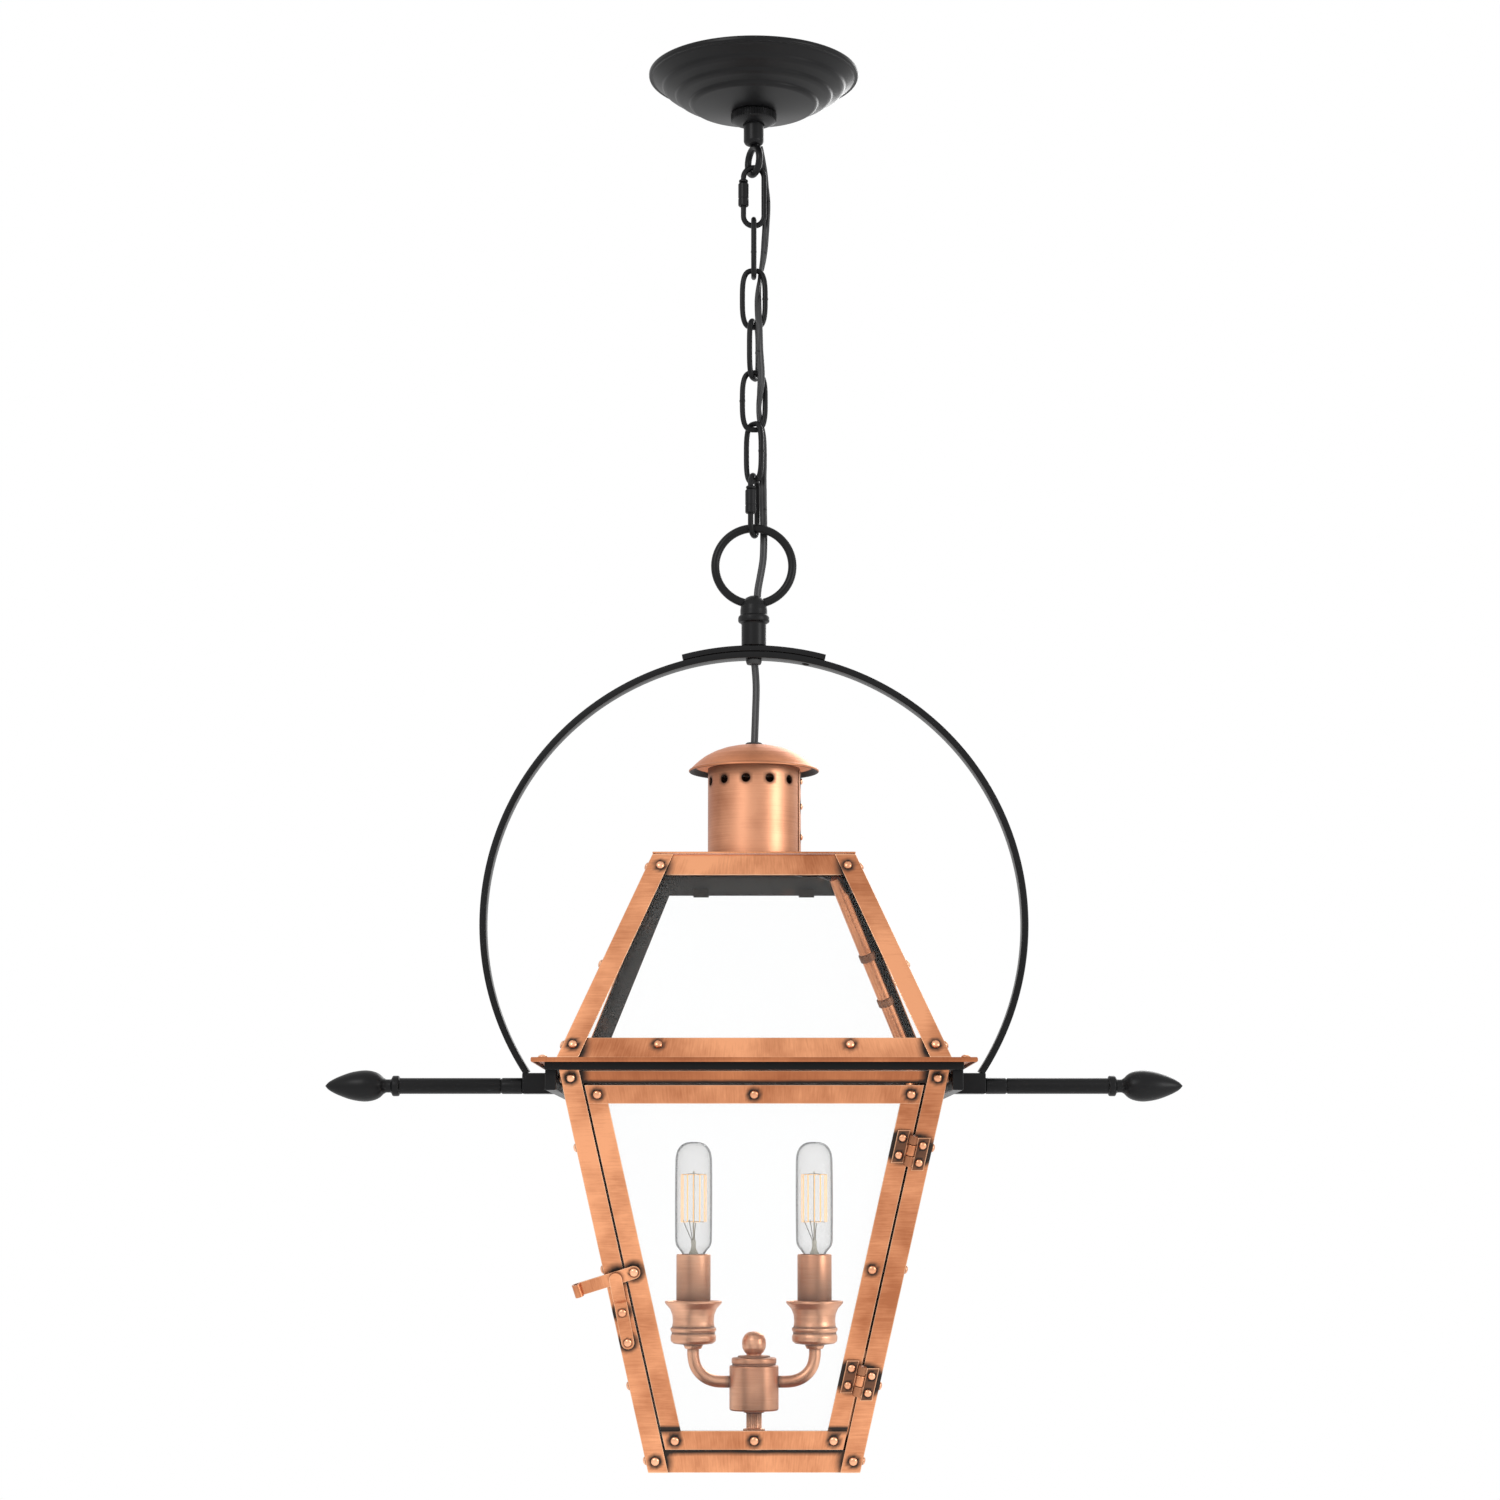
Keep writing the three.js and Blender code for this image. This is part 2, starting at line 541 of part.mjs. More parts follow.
function addLampCluster() {
  const column = turned([
    [0, -970.9], [9, -970.9], [9, -966], [4.5, -965], [4.5, -952.7], [6, -952.7], [6, -946],
    [4.5, -946], [4.5, -939.5], [14, -938.8], [16.6, -936], [16.6, -909.2], [15.15, -909.2],
    [15.15, -905], [12, -903.7], [4, -902.5], [7, -899.5], [8.1, -894.5], [7, -889.5], [0, -886.5],
  ], 16);
  const cup = turned([
    [0, -899], [5.5, -899], [6.5, -895], [12, -892], [15.2, -886], [15.2, -876], [19.3, -870],
    [19.3, -866.3], [0, -866.3],
  ], 16);
  const arm = (side) => swept(smoothPath([
    [side * CANDLE.x, 0, -896], [side * CANDLE.x, 0, -904], [side * 37.5, 0, -913.5],
    [side * 28, 0, -919], [side * 14, 0, -920],
  ]), 4, 8);
  const arms = [-1, 1].flatMap((side) => [arm(side), cup.translate(side * CANDLE.x, 0, 0)]);
  add('lamp_cluster', join(column, ...arms), 'copper');
  const { radius, bottom, top, bore, floor } = CANDLE;
  const sleeve = turned([
    [0, bottom], [radius, bottom], [radius, top], [bore, top], [bore, floor], [0, floor],
  ], 16);
  const bulb = turned([
    [0, -861.3], [5.2, -861.3], [6.4, -858], [6.4, -836], [7.4, -834], [12.5, -826], [12.5, -768],
    [11.2, -763.6], [7.5, -760.6], [0, -759.5],
  ], 16);
  for (const [name, side] of [['left', -1], ['right', 1]]) {
    add(`candle_${name}`, sleeve, 'copper', { at: [side * CANDLE.x, 0, 0] });
    add(`bulb_${name}`, bulb, 'bulb', { at: [side * CANDLE.x, 0, 0] });
  }
}

// Conduit inside the back right corner, from the top plate down the hip and the post.
function addConduit() {
  const roof = (z) => [roofHalf(z) - 11.5, roofHalf(z) - 11.5, z];
  const body = (z) => [bodyHalf(z) - 11.2, bodyHalf(z) - 11.2, z];
  const path = smoothPath([
    roof(-573), roof(-630), roof(-690), [114.4, 114.4, -708], body(-728), body(-800), body(-885), body(-969),
  ]);
  add('conduit', swept(path, 5, 26), 'copper');
}

// ---- Cord ---------------------------------------------------------------------------------

const CORD_RADIUS = 1.8;

function addCords() {
  const upper = smoothPath([
    [4.6, 2.1, -53.9], [5.6, 2.7, -59], [6.6, 3.6, -65], [7.6, 4.7, -72], [8.2, 4.8, -82],
    [9.2, 4.8, -92], [9.3, 4.8, -100], [8.8, 4.8, -109], [8.2, 4.8, -119], [7.2, 4.8, -132],
    [5.9, 4.8, -141], [4.5, 4.7, -148], [4.1, 4.4, -152.5], [3.4, 3, -159], [3, 0.4, -168],
    [3.1, -2.6, -177], [3.5, -4.4, -184], [3.8, -4.5, -191], [4.1, -4.2, -204], [4.8, -4.3, -214],
    [5.2, -4.4, -221], [5.1, -4.5, -229], [4.3, -3.2, -237], [3.5, 0.2, -246], [4.3, 3.6, -254],
    [5.6, 4.9, -260], [6.6, 3.9, -267], [6.9, 2.4, -276], [6.8, 1.8, -286], [6.5, 1.7, -296],
    [6.6, 2.3, -308], [6.7, 3.8, -319], [6.9, 5.4, -328], [7, 5.5, -336], [6.9, 4.4, -345],
    [6.4, 2.8, -355], [4.5, 1.2, -367], [2.9, 0.5, -376], [2.4, 0.3, -382],
  ]);
  add('cord_upper', swept(upper, CORD_RADIUS, 72), 'cord');
  const lower = smoothPath([
    [0.2, 0, -426.4], [0.9, 0, -433], [1.6, 0, -445], [1.1, 0, -465], [0.4, 0, -484.3],
  ]);
  add('cord_lower', swept(lower, CORD_RADIUS, 10), 'cord');
}

// ---- Assembly -----------------------------------------------------------------------------

addCeilingParts();
addChain();
addHoop();
addYoke();
addBars();
addRoof();
addEave();
addChimney();
addBodyFrame();
addDoor();
addLatch();
addKeeper();
addLampCluster();
addConduit();
addCords();

export default lantern;
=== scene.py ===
"""Looks of the hanging lantern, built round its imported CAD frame.

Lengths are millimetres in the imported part's frame (+Z up, front towards -Y) until a mesh is made.
"""

import math

import bpy
import numpy as np
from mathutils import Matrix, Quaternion, Vector


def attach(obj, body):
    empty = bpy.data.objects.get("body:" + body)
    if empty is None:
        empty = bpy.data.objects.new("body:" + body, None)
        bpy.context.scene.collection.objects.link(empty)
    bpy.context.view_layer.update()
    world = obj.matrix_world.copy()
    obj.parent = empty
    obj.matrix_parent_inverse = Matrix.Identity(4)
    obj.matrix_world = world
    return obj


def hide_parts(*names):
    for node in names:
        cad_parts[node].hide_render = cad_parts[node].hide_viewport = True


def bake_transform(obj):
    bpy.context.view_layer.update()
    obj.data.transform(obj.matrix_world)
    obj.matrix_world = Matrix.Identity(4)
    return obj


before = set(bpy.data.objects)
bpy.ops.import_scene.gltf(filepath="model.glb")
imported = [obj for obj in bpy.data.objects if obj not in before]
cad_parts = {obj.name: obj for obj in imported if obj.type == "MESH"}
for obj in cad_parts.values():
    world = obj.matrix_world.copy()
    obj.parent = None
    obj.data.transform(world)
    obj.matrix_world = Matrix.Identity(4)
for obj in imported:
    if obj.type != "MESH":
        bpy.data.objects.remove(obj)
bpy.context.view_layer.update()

MM = 0.001
TAU = 2 * math.pi

# ---- Dimensions shared with the CAD part --------------------------------------------------

ROOF_TOP, ROOF_BOTTOM = -569.5, -707.7
BODY_TOP, BODY_BOTTOM = -709.5, -973.9
HOOP_OUTER, HOOP_THICK, HOOP_CENTRE, HOOP_END = 188.5, 4.5, -609.7, -712.7
SHEET = 1.2
HIP_WIDTH, POST_WIDTH, STILE = 14.0, 13.0, 12.7
DOOR_INSET, HINGE_INSET = 14.5, 13.75
DOOR_TOP, DOOR_RAIL_TOP, DOOR_RAIL_BOTTOM, DOOR_BOTTOM = -725.2, -737.0, -946.7, -958.9
HINGE_LEVELS = (-766.5, -914.0)
SLOPE = 0.2202


def roof_half(z):
    return 67.9 + 0.4298 * (ROOF_TOP - z)


def body_half(z):
    return 68.9 + SLOPE * (z - BODY_BOTTOM)


# ---- Materials ----------------------------------------------------------------------------


def grey(level):
    return (level, level, level, 1)


class Material:
    """Principled material, with short ways to add nodes and join them."""

    def __init__(self, name):
        self.mat = bpy.data.materials.new(name)
        self.mat.use_nodes = True
        self.nodes = self.mat.node_tree.nodes
        self.inputs = self.nodes["Principled BSDF"].inputs

    def put(self, socket, value):
        """Joins a socket to another one, or gives it a value."""
        if isinstance(value, bpy.types.NodeSocket):
            self.mat.node_tree.links.new(value, socket)
        else:
            socket.default_value = value

    def set(self, values):
        for name, value in values.items():
            self.put(self.inputs[name], value)
        return self.mat

    def noise(self, scale, detail=4.0, stretch=(1, 1, 1), source=None):
        """Noise over the object's own coordinates, or over a grain attribute, stretched if asked."""
        noise = self.nodes.new("ShaderNodeTexNoise")
        self.put(noise.inputs["Scale"], scale)
        self.put(noise.inputs["Detail"], detail)
        if source is None:
            source = self.nodes.new("ShaderNodeTexCoord").outputs["Object"]
        mapping = self.nodes.new("ShaderNodeMapping")
        self.put(mapping.inputs["Scale"], stretch)
        self.put(mapping.inputs["Vector"], source)
        self.put(noise.inputs["Vector"], mapping.outputs["Vector"])
        return noise.outputs["Fac"]

    def ramp(self, value, stops):
        ramp = self.nodes.new("ShaderNodeValToRGB")
        elements = ramp.color_ramp.elements
        elements[0].position, elements[0].color = stops[0]
        elements[1].position, elements[1].color = stops[-1]
        for position, colour in stops[1:-1]:
            elements.new(position).color = colour
        self.put(ramp.inputs["Fac"], value)
        return ramp.outputs["Color"]

    def mix(self, factor, first, second):
        mix = self.nodes.new("ShaderNodeMix")
        mix.data_type = "RGBA"
        self.put(mix.inputs["Factor"], factor)
        self.put(mix.inputs[6], first)
        self.put(mix.inputs[7], second)
        return mix.outputs[2]

    def calc(self, operation, *values, clamp=False):
        node = self.nodes.new("ShaderNodeMath")
        node.operation, node.use_clamp = operation, clamp
        for socket, value in zip(node.inputs, values):
            self.put(socket, value)
        return node.outputs[0]

    def attribute(self, name, output="Fac"):
        node = self.nodes.new("ShaderNodeAttribute")
        node.attribute_name = name
        return node.outputs[output]

    def bump(self, height, strength, distance=0.0001):
        bump = self.nodes.new("ShaderNodeBump")
        self.put(bump.inputs["Strength"], strength)
        self.put(bump.inputs["Distance"], distance)
        self.put(bump.inputs["Height"], height)
        return bump.outputs["Normal"]


def black_coat():
    """Satin black powder coat with a fine grain."""
    made = Material("black_powder_coat")
    grain = made.noise(900, 3)
    tone = made.noise(14, 4)
    return made.set({
        "Base Color": made.ramp(tone, [(0.3, (0.0035, 0.0036, 0.004, 1)), (0.7, (0.0065, 0.0065, 0.007, 1))]),
        "Roughness": made.ramp(tone, [(0.2, grey(0.34)), (0.8, grey(0.42))]),
        "Specular IOR Level": 0.17,
        "Normal": made.bump(grain, 0.05),
    })


# Near-black colour for painted shade in hollows, seams, undersides and inner faces, and for random dark
# stains.
SHADE_AND_PATINA_COLOUR = (0.026, 0.018, 0.0145, 1)
# Pale copper for the painted highlight along sheet edges.
EDGE_GLINT_COLOUR = (1.0, 0.66, 0.43, 1)


def copper(name, bright, deep, brushed, glint_strength=1.0, polish=0.32):
    """Brushed copper: darker with painted shade (and some patina) where the shade attribute is 1, paler with
    a painted edge highlight where the edge attribute is.
    """
    made = Material(name)
    grain = made.attribute("grain", "Vector")
    dark = made.attribute("patina")
    edge = made.attribute("edge_glint")
    streaks = made.noise(1.0, 4, brushed, grain)
    clouds = made.noise(13, 3)
    patches = made.noise(60, 4)
    value = made.calc("MULTIPLY", clouds, 0.63)
    value = made.calc("MULTIPLY_ADD", streaks, 0.17, value)
    value = made.calc("MULTIPLY_ADD", patches, 0.2, value)
    middle = tuple(0.5 * (a + b) for a, b in zip(deep, bright))
    base = made.ramp(value, [(0.38, deep), (0.5, middle), (0.6, bright)])
    # Painted edge highlight: pale copper along the edges, broken up by noise.
    glint = made.calc("MULTIPLY", made.calc("POWER", edge, 2.5), patches)
    glint = made.calc("MULTIPLY", glint, 1.5 * glint_strength, clamp=True)
    shine = made.mix(glint, base, EDGE_GLINT_COLOUR)
    # Random dark stains, plus the painted shade carried by the vertex attribute.
    stain = made.calc("MULTIPLY_ADD", patches, 0.5, -0.25)
    amount = made.calc("ADD", stain, dark, clamp=True)
    shown = made.nodes.new("ShaderNodeMapRange")
    made.put(shown.inputs["From Min"], 0.12)
    made.put(shown.inputs["From Max"], 0.95)
    made.put(shown.inputs["Value"], amount)
    return made.set({
        "Base Color": made.mix(shown.outputs["Result"], shine, SHADE_AND_PATINA_COLOUR),
        "Roughness": made.ramp(amount, [(0.1, grey(polish)), (1.0, grey(0.6))]),
        "Metallic": made.ramp(amount, [(0.2, grey(1)), (1.0, grey(0.25))]),
        "Specular IOR Level": 0.2,
        "Normal": made.bump(streaks, 0.16, 0.0002),
    })


def clear_glass():
    made = Material("clear_pane")
    haze = made.noise(7, 3)
    return made.set({
        "Roughness": made.ramp(haze, [(0.3, grey(0.02)), (0.7, grey(0.05))]),
        "Base Color": (0.75, 0.8, 0.8, 1),
        "Specular IOR Level": 0.1,
        "Alpha": 0.016,
    })


def bulb_glass():
    """Clear bulb, easier to see where it turns away."""
    made = Material("bulb_glass")
    weight = made.nodes.new("ShaderNodeLayerWeight")
    made.put(weight.inputs["Blend"], 0.5)
    facing = weight.outputs["Facing"]
    return made.set({
        "Alpha": made.ramp(facing, [(0.0, grey(0.09)), (0.55, grey(0.14)), (0.9, grey(0.9))]),
        "Base Color": made.ramp(facing, [(0.3, grey(0.66)), (0.82, (0.04, 0.045, 0.05, 1))]),
        "Roughness": 0.03,
        "Specular IOR Level": 0.2,
    })


def plain(name, colour, roughness, metallic=0.0, noise=600, bump=0.08, emission=0.0):
    made = Material(name)
    tone = made.noise(noise, 3)
    darker = tuple(0.8 * c for c in colour[:3]) + (1,)
    if emission:
        made.set({"Emission Color": colour, "Emission Strength": emission})
    return made.set({
        "Base Color": made.ramp(tone, [(0.35, darker), (0.65, colour)]),
        "Roughness": roughness,
        "Metallic": metallic,
        "Normal": made.bump(tone, bump),
    })


BRUSHED, TURNING = (900, 90, 90), (40, 1300, 900)
BLACK = black_coat()
COPPER = copper("brushed_copper", (0.80, 0.355, 0.18, 1), (0.40, 0.14, 0.062, 1), BRUSHED)
TURNED = copper("turned_copper", (0.80, 0.44, 0.28, 1), (0.47, 0.215, 0.125, 1), TURNING, 0.4, 0.42)
SHADED = copper("shaded_copper", (0.55, 0.205, 0.09, 1), (0.33, 0.105, 0.045, 1), BRUSHED)
SPUN = copper("spun_copper", (0.63, 0.30, 0.175, 1), (0.38, 0.15, 0.08, 1), TURNING, 0.4, 0.42)
HEAD = copper("rivet_copper", (0.95, 0.52, 0.32, 1), (0.62, 0.27, 0.14, 1), (900, 900, 900))
# Brighter, rougher copy of the copper for the chimney cap: its lighter tone is painted light.
LIGHTENED_CAP = copper("lightened_cap_copper", (0.82, 0.36, 0.19, 1), (0.52, 0.19, 0.09, 1), (40, 900, 900), 1.0, 0.46)
PANE = clear_glass()
BULB = bulb_glass()
CORD = plain("cord_vinyl", (0.014, 0.014, 0.015, 1), 0.42)
RUBBER = plain("black_bushing", (0.02, 0.02, 0.02, 1), 0.6)
FILAMENT = plain("filament", (1.0, 0.56, 0.2, 1), 0.5, 0.0, 300, 0.05, 0.75)
STEM_WIRE = plain("stem_wire", (0.22, 0.2, 0.17, 1), 0.35, 0.8)
STEM_GLASS = plain("stem_glass", (0.55, 0.52, 0.42, 1), 0.1)
BRASS = plain("screw_shell", (0.62, 0.5, 0.3, 1), 0.3, 1.0)

# ---- Mesh pieces --------------------------------------------------------------------------


def new_object(name, data):
    obj = bpy.data.objects.new(name, data)
    bpy.context.scene.collection.objects.link(obj)
    return obj


def point_values(mesh, name, kind, key, values):
    """Stores one value, or one vector, for each vertex."""
    attribute = mesh.attributes.new(name, kind, "POINT")
    attribute.data.foreach_set(key, np.array(values, float).ravel())


class Build:
    """Gathers closed shells, in millimetres, with a grain place, a painted shade (with some patina) and a
    painted edge highlight for each vertex.
    """

    def __init__(self):
        self.verts, self.faces, self.grain, self.patina, self.edge_glint = [], [], [], [], []

    def add(self, verts, faces, grain=None, patina=0.0, edge_glint=0.0):
        start = len(self.verts)
        self.verts += [tuple(v) for v in verts]
        self.faces += [tuple(start + i for i in f) for f in faces]
        self.grain += [tuple(g) for g in grain] if grain else [tuple(v) for v in verts]
        self.patina += patina if isinstance(patina, list) else [patina] * len(verts)
        self.edge_glint += edge_glint if isinstance(edge_glint, list) else [edge_glint] * len(verts)
        return self

    def object(self, name, mat, body, slot, replaces=(), bevel=0.0, halos=(), smooth=35):
        mesh = bpy.data.meshes.new(name)
        mesh.from_pydata([[c * MM for c in v] for v in self.verts], [], self.faces)
        dark = np.array(self.patina, float)
        points = np.array(self.verts, float)
        # Painted shade: soft dark rings round rivets and where parts lie over or cast shadow on the piece.
        for centre, inner, outer in halos:
            away = np.linalg.norm(points - np.array(centre), axis=1)
            ring = np.clip((outer - away) / (outer - inner), 0, 1)
            dark = np.maximum(dark, ring * ring * (3 - 2 * ring))
        point_values(mesh, "grain", "FLOAT_VECTOR", "vector", np.array(self.grain, float) * MM)
        point_values(mesh, "patina", "FLOAT", "value", dark)
        point_values(mesh, "edge_glint", "FLOAT", "value", self.edge_glint)
        mesh.validate()
        mesh.materials.append(mat)
        mesh.shade_smooth()
        obj = new_object(name, mesh)
        mesh.set_sharp_from_angle(angle=math.radians(smooth))
        if bevel:
            mod = obj.modifiers.new("corner_shade", "BEVEL")
            mod.width, mod.segments, mod.limit_method = bevel * MM, 2, "ANGLE"
            mod.angle_limit = math.radians(smooth)
            mod.harden_normals = True
        if body:
            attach(obj, body)
        if replaces:
            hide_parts(*replaces)
        return obj


def piece(name, mat, body, slot, parts, replaces=(), **options):
    made = Build()
    for part in parts:
        made.add(*part)
    return made.object(name, mat, body, slot, replaces, **options)


def black_piece(name, body, parts, replaces=(), **options):
    return piece(name, BLACK, body, "black_steel", parts, replaces, **options)


def copper_piece(name, body, parts, replaces=(), halos=(), mat=COPPER, bevel=0.25, smooth=35):
    return piece(name, mat, body, "aged_copper", parts, replaces, halos=halos, bevel=bevel, smooth=smooth)


def rivet_piece(name, body, rivets, radius=2.8, height=1.9):
    domes = [rivet_dome(at, normal, radius, height) for at, normal in rivets]
    return piece(name, HEAD, body, "aged_copper", domes, smooth=60)


def flipped(faces):
    return [f[::-1] for f in faces]


def facing(verts, faces, normal):
    """The faces, all turned over if the first one looks away from the normal."""
    a, b, c = (Vector(verts[i]) for i in faces[0][:3])
    return flipped(faces) if (b - a).cross(c - b).dot(Vector(normal)) < 0 else faces


def signed_area(points):
    """Twice the area inside a closed line, positive when it runs anticlockwise."""
    return sum(a[0] * b[1] - b[0] * a[1] for a, b in zip(points, points[1:] + points[:1]))


def strip_faces(rows, columns, wrap_rows=False, wrap_columns=True):
    """Quads of a grid of rows x columns vertices."""
    faces = []
    for i in range(rows if wrap_rows else rows - 1):
        for j in range(columns if wrap_columns else columns - 1):
            a, b = i * columns + j, i * columns + (j + 1) % columns
            k = (i + 1) % rows * columns
            faces.append((a, b, k + (j + 1) % columns, k + j))
    return faces


def fillet(profile, radius, steps=4):
    """Rounds the inner corners of an open [r, z] line."""
    out = [tuple(profile[0])]
    for p, q, s in zip(profile, profile[1:], profile[2:]):
        p, q, s = Vector(p), Vector(q), Vector(s)
        before, after = (p - q), (s - q)
        cut = min(radius, 0.45 * before.length, 0.45 * after.length)
        a, b = q + before.normalized() * cut, q + after.normalized() * cut
        for i in range(steps + 1):
            t = i / steps
            out.append(tuple(a.lerp(q, t).lerp(q.lerp(b, t), t)))
    out.append(tuple(profile[-1]))
    return out


def lathe(profile, segments=64, at=(0, 0, 0), direction=(0, 0, 1), knurl=None, closed=False):
    """Turned solid from an [r, z] profile that runs from axis to axis, or closes on itself."""
    turn = Vector((0, 0, 1)).rotation_difference(Vector(direction))
    verts, grain = [], []
    travelled = 0.0
    for k, (r, z) in enumerate(profile):
        if k:
            travelled += math.hypot(r - profile[k - 1][0], z - profile[k - 1][1])
        for j in range(segments):
            angle = TAU * j / segments
            radius = r + (knurl(k, j) if knurl else 0.0)
            p = turn @ Vector((radius * math.cos(angle), radius * math.sin(angle), z)) + Vector(at)
            verts.append(p)
            grain.append((angle * 10, travelled, 0))
    faces = flipped(strip_faces(len(profile), segments, wrap_rows=closed))
    if not closed:
        faces.append(tuple(range(segments)))
        last = (len(profile) - 1) * segments
        faces.append(tuple(last + j for j in reversed(range(segments))))
    return verts, flipped(faces) if profile_turns_in(profile, closed) else faces, grain


def profile_turns_in(profile, closed):
    """True if the faces made in the profile's order would point inwards."""
    points = list(profile) if closed else [(0, profile[0][1]), *profile, (0, profile[-1][1])]
    return signed_area(points) > 0


def section_frames(points, wide=None):
    """Tangent, side and up vectors along a path; wide(i) gives a chosen side direction."""
    points = [Vector(p) for p in points]
    frames = []
    side = None
    for i, p in enumerate(points):
        tangent = (points[min(i + 1, len(points) - 1)] - points[max(i - 1, 0)]).normalized()
        if wide is not None:
            side = Vector(wide(i))
        elif side is None:
            side = tangent.orthogonal()
        side = (side - tangent * side.dot(tangent)).normalized()
        frames.append((p, side, tangent.cross(side).normalized()))
    return frames


def sweep(points, section, wide=None, scale=None):
    """Solid swept along an open path with a closed [side, up] section, capped at both ends."""
    verts, grain = [], []
    travelled = 0.0
    frames = section_frames(points, wide)
    for i, (p, side, up) in enumerate(frames):
        if i:
            travelled += (p - frames[i - 1][0]).length
        size = scale(i) if scale else 1.0
        for j, (a, b) in enumerate(section):
            verts.append(p + side * a * size + up * b * size)
            grain.append((travelled, j * 0.8, 0))
    n = len(section)
    faces = flipped(strip_faces(len(points), n))
    faces.append(tuple(range(n)))
    faces.append(tuple((len(points) - 1) * n + j for j in reversed(range(n))))
    return verts, flipped(faces) if signed_area(section) > 0 else faces, grain


def round_section(radius, sides=16):
    return [(radius * math.cos(TAU * i / sides), radius * math.sin(TAU * i / sides)) for i in range(sides)]


def soft_rectangle(width, height, radius, steps=3):
    """Rounded rectangle section centred on the path."""
    out = []
    for quarter, (sx, sy) in enumerate([(1, 1), (-1, 1), (-1, -1), (1, -1)]):
        for i in range(steps + 1):
            angle = (quarter + i / steps) * math.pi / 2
            out.append((sx * (width / 2 - radius) + radius * math.cos(angle),
                        sy * (height / 2 - radius) + radius * math.sin(angle)))
    return out


def smooth_points(points, per_step=10):
    """Centripetal spline through given points."""
    pts = [Vector(p) for p in points]
    pts = [2 * pts[0] - pts[1], *pts, 2 * pts[-1] - pts[-2]]
    out = []
    for a, b, c, d in zip(pts, pts[1:], pts[2:], pts[3:]):
        t0, t1 = 0.0, (b - a).length ** 0.5
        t2 = t1 + (c - b).length ** 0.5
        t3 = t2 + (d - c).length ** 0.5
        for i in range(per_step):
            t = t1 + (t2 - t1) * i / per_step
            ab = a.lerp(b, (t - t0) / (t1 - t0))
            bc = b.lerp(c, (t - t1) / (t2 - t1))
            cd = c.lerp(d, (t - t2) / (t3 - t2))
            abc = ab.lerp(bc, (t - t0) / (t2 - t0))
            bcd = bc.lerp(cd, (t - t1) / (t3 - t1))
            out.append(abc.lerp(bcd, (t - t1) / (t2 - t1)))
    out.append(pts[-2])
    return out


def plate(corner, along, across, thick, normal, rows, columns):
    """Sheet with a fine grid: corner(u, v) gives the outer face, and the inner one lies behind it."""
    verts, grain, patina, edge_glint = [], [], [], []
    back = -Vector(normal).normalized() * thick
    for layer in (0, 1):
        for i in range(rows + 1):
            for j in range(columns + 1):
                u, v = spread(i, rows, along), spread(j, columns, across)
                p = Vector(corner(u, v)) + back * layer
                verts.append(p)
                grain.append((u * along, v * across, layer * 5))
                edge = min(u * along, (1 - u) * along, v * across, (1 - v) * across)
                # The inner face is painted dark as shade; the outer face gets a painted highlight along its
                # edges.
                patina.append(1.0 if layer else 0.0)
                edge_glint.append(max(0, 1 - edge / 0.8) if not layer else 0.0)
    n = (rows + 1) * (columns + 1)
    faces = []
    for a, b, c, d in strip_faces(rows + 1, columns + 1, wrap_columns=False):
        faces += [(a, b, c, d), (n + d, n + c, n + b, n + a)]
    rim = list(range(columns + 1))
    rim += [i * (columns + 1) + columns for i in range(1, rows + 1)]
    rim += [rows * (columns + 1) + j for j in reversed(range(columns))]
    rim += [i * (columns + 1) for i in reversed(range(1, rows))]
    faces += [(b, a, n + a, n + b) for a, b in zip(rim, rim[1:] + rim[:1])]
    return verts, facing(verts, faces, normal), grain, patina, edge_glint


def spread(i, steps, length, rim=0.8):
    """Share of a length at grid line i, with one grid line close to each edge."""
    if steps < 4 or length < 3 * rim:
        return i / steps
    inner = rim / length
    if i in (0, steps):
        return i / steps
    return inner + (1 - 2 * inner) * (i - 1) / (steps - 2)


QUARTER_TURNS = [(1, 0), (0, 1), (-1, 0), (0, -1)]  # cosine and sine


def turned_about_z(part, quarter):
    """Copies a plate or strip round the Z axis by quarter turns."""
    c, s = QUARTER_TURNS[quarter % 4]
    verts = [Vector((c * x - s * y, s * x + c * y, z)) for x, y, z in part[0]]
    return (verts, *part[1:])


def rivet_dome(at, normal, radius=2.8, height=1.9):
    """Slightly flattened dome with a soft foot."""
    profile = [(0.0001, -0.3), (radius, -0.3), (radius, 0.15 * height)]
    for i in range(1, 7):
        angle = i / 6 * math.pi / 2
        profile.append((radius * math.cos(angle) + 0.0001, height * (0.15 + 0.85 * math.sin(angle))))
    verts, faces, grain = lathe(profile, 20, at, normal)
    up = Vector(normal).normalized()
    # Darker towards the foot: painted shade where the dome meets the sheet.
    dark = [min(1, max(0, 1.1 - (Vector(v) - Vector(at)).dot(up) / (0.4 * height))) for v in verts]
    return verts, faces, grain, dark


# ---- Camera and studio --------------------------------------------------------------------


def add_camera():
    data = bpy.data.cameras.new("camera")
    data.lens, data.sensor_width = 73.56, 36
    camera = new_object("camera", data)
    camera.location = (-0.0027, -2.106, -0.792)
    camera.rotation_euler = (math.radians(98.17), 0, 0)
    bpy.context.scene.camera = camera


def add_light(name, place, target, size, watts):
    lamp = bpy.data.lights.new(name, "AREA")
    lamp.size, lamp.energy = size, watts
    obj = new_object(name, lamp)
    obj.location = place
    obj.rotation_euler = (Vector(target) - Vector(place)).to_track_quat("-Z", "Y").to_euler()


def add_floor(reach, level):
    paper = Material("floor_paper").set({"Base Color": (0.97, 0.97, 0.97, 1), "Roughness": 0.9})
    mesh = bpy.data.meshes.new("floor")
    corners = [(-reach, -reach, level), (reach, -reach, level), (reach, reach, level), (-reach, reach, level)]
    mesh.from_pydata(corners, [], [(0, 1, 2, 3)])
    mesh.materials.append(paper)
    new_object("floor", mesh)


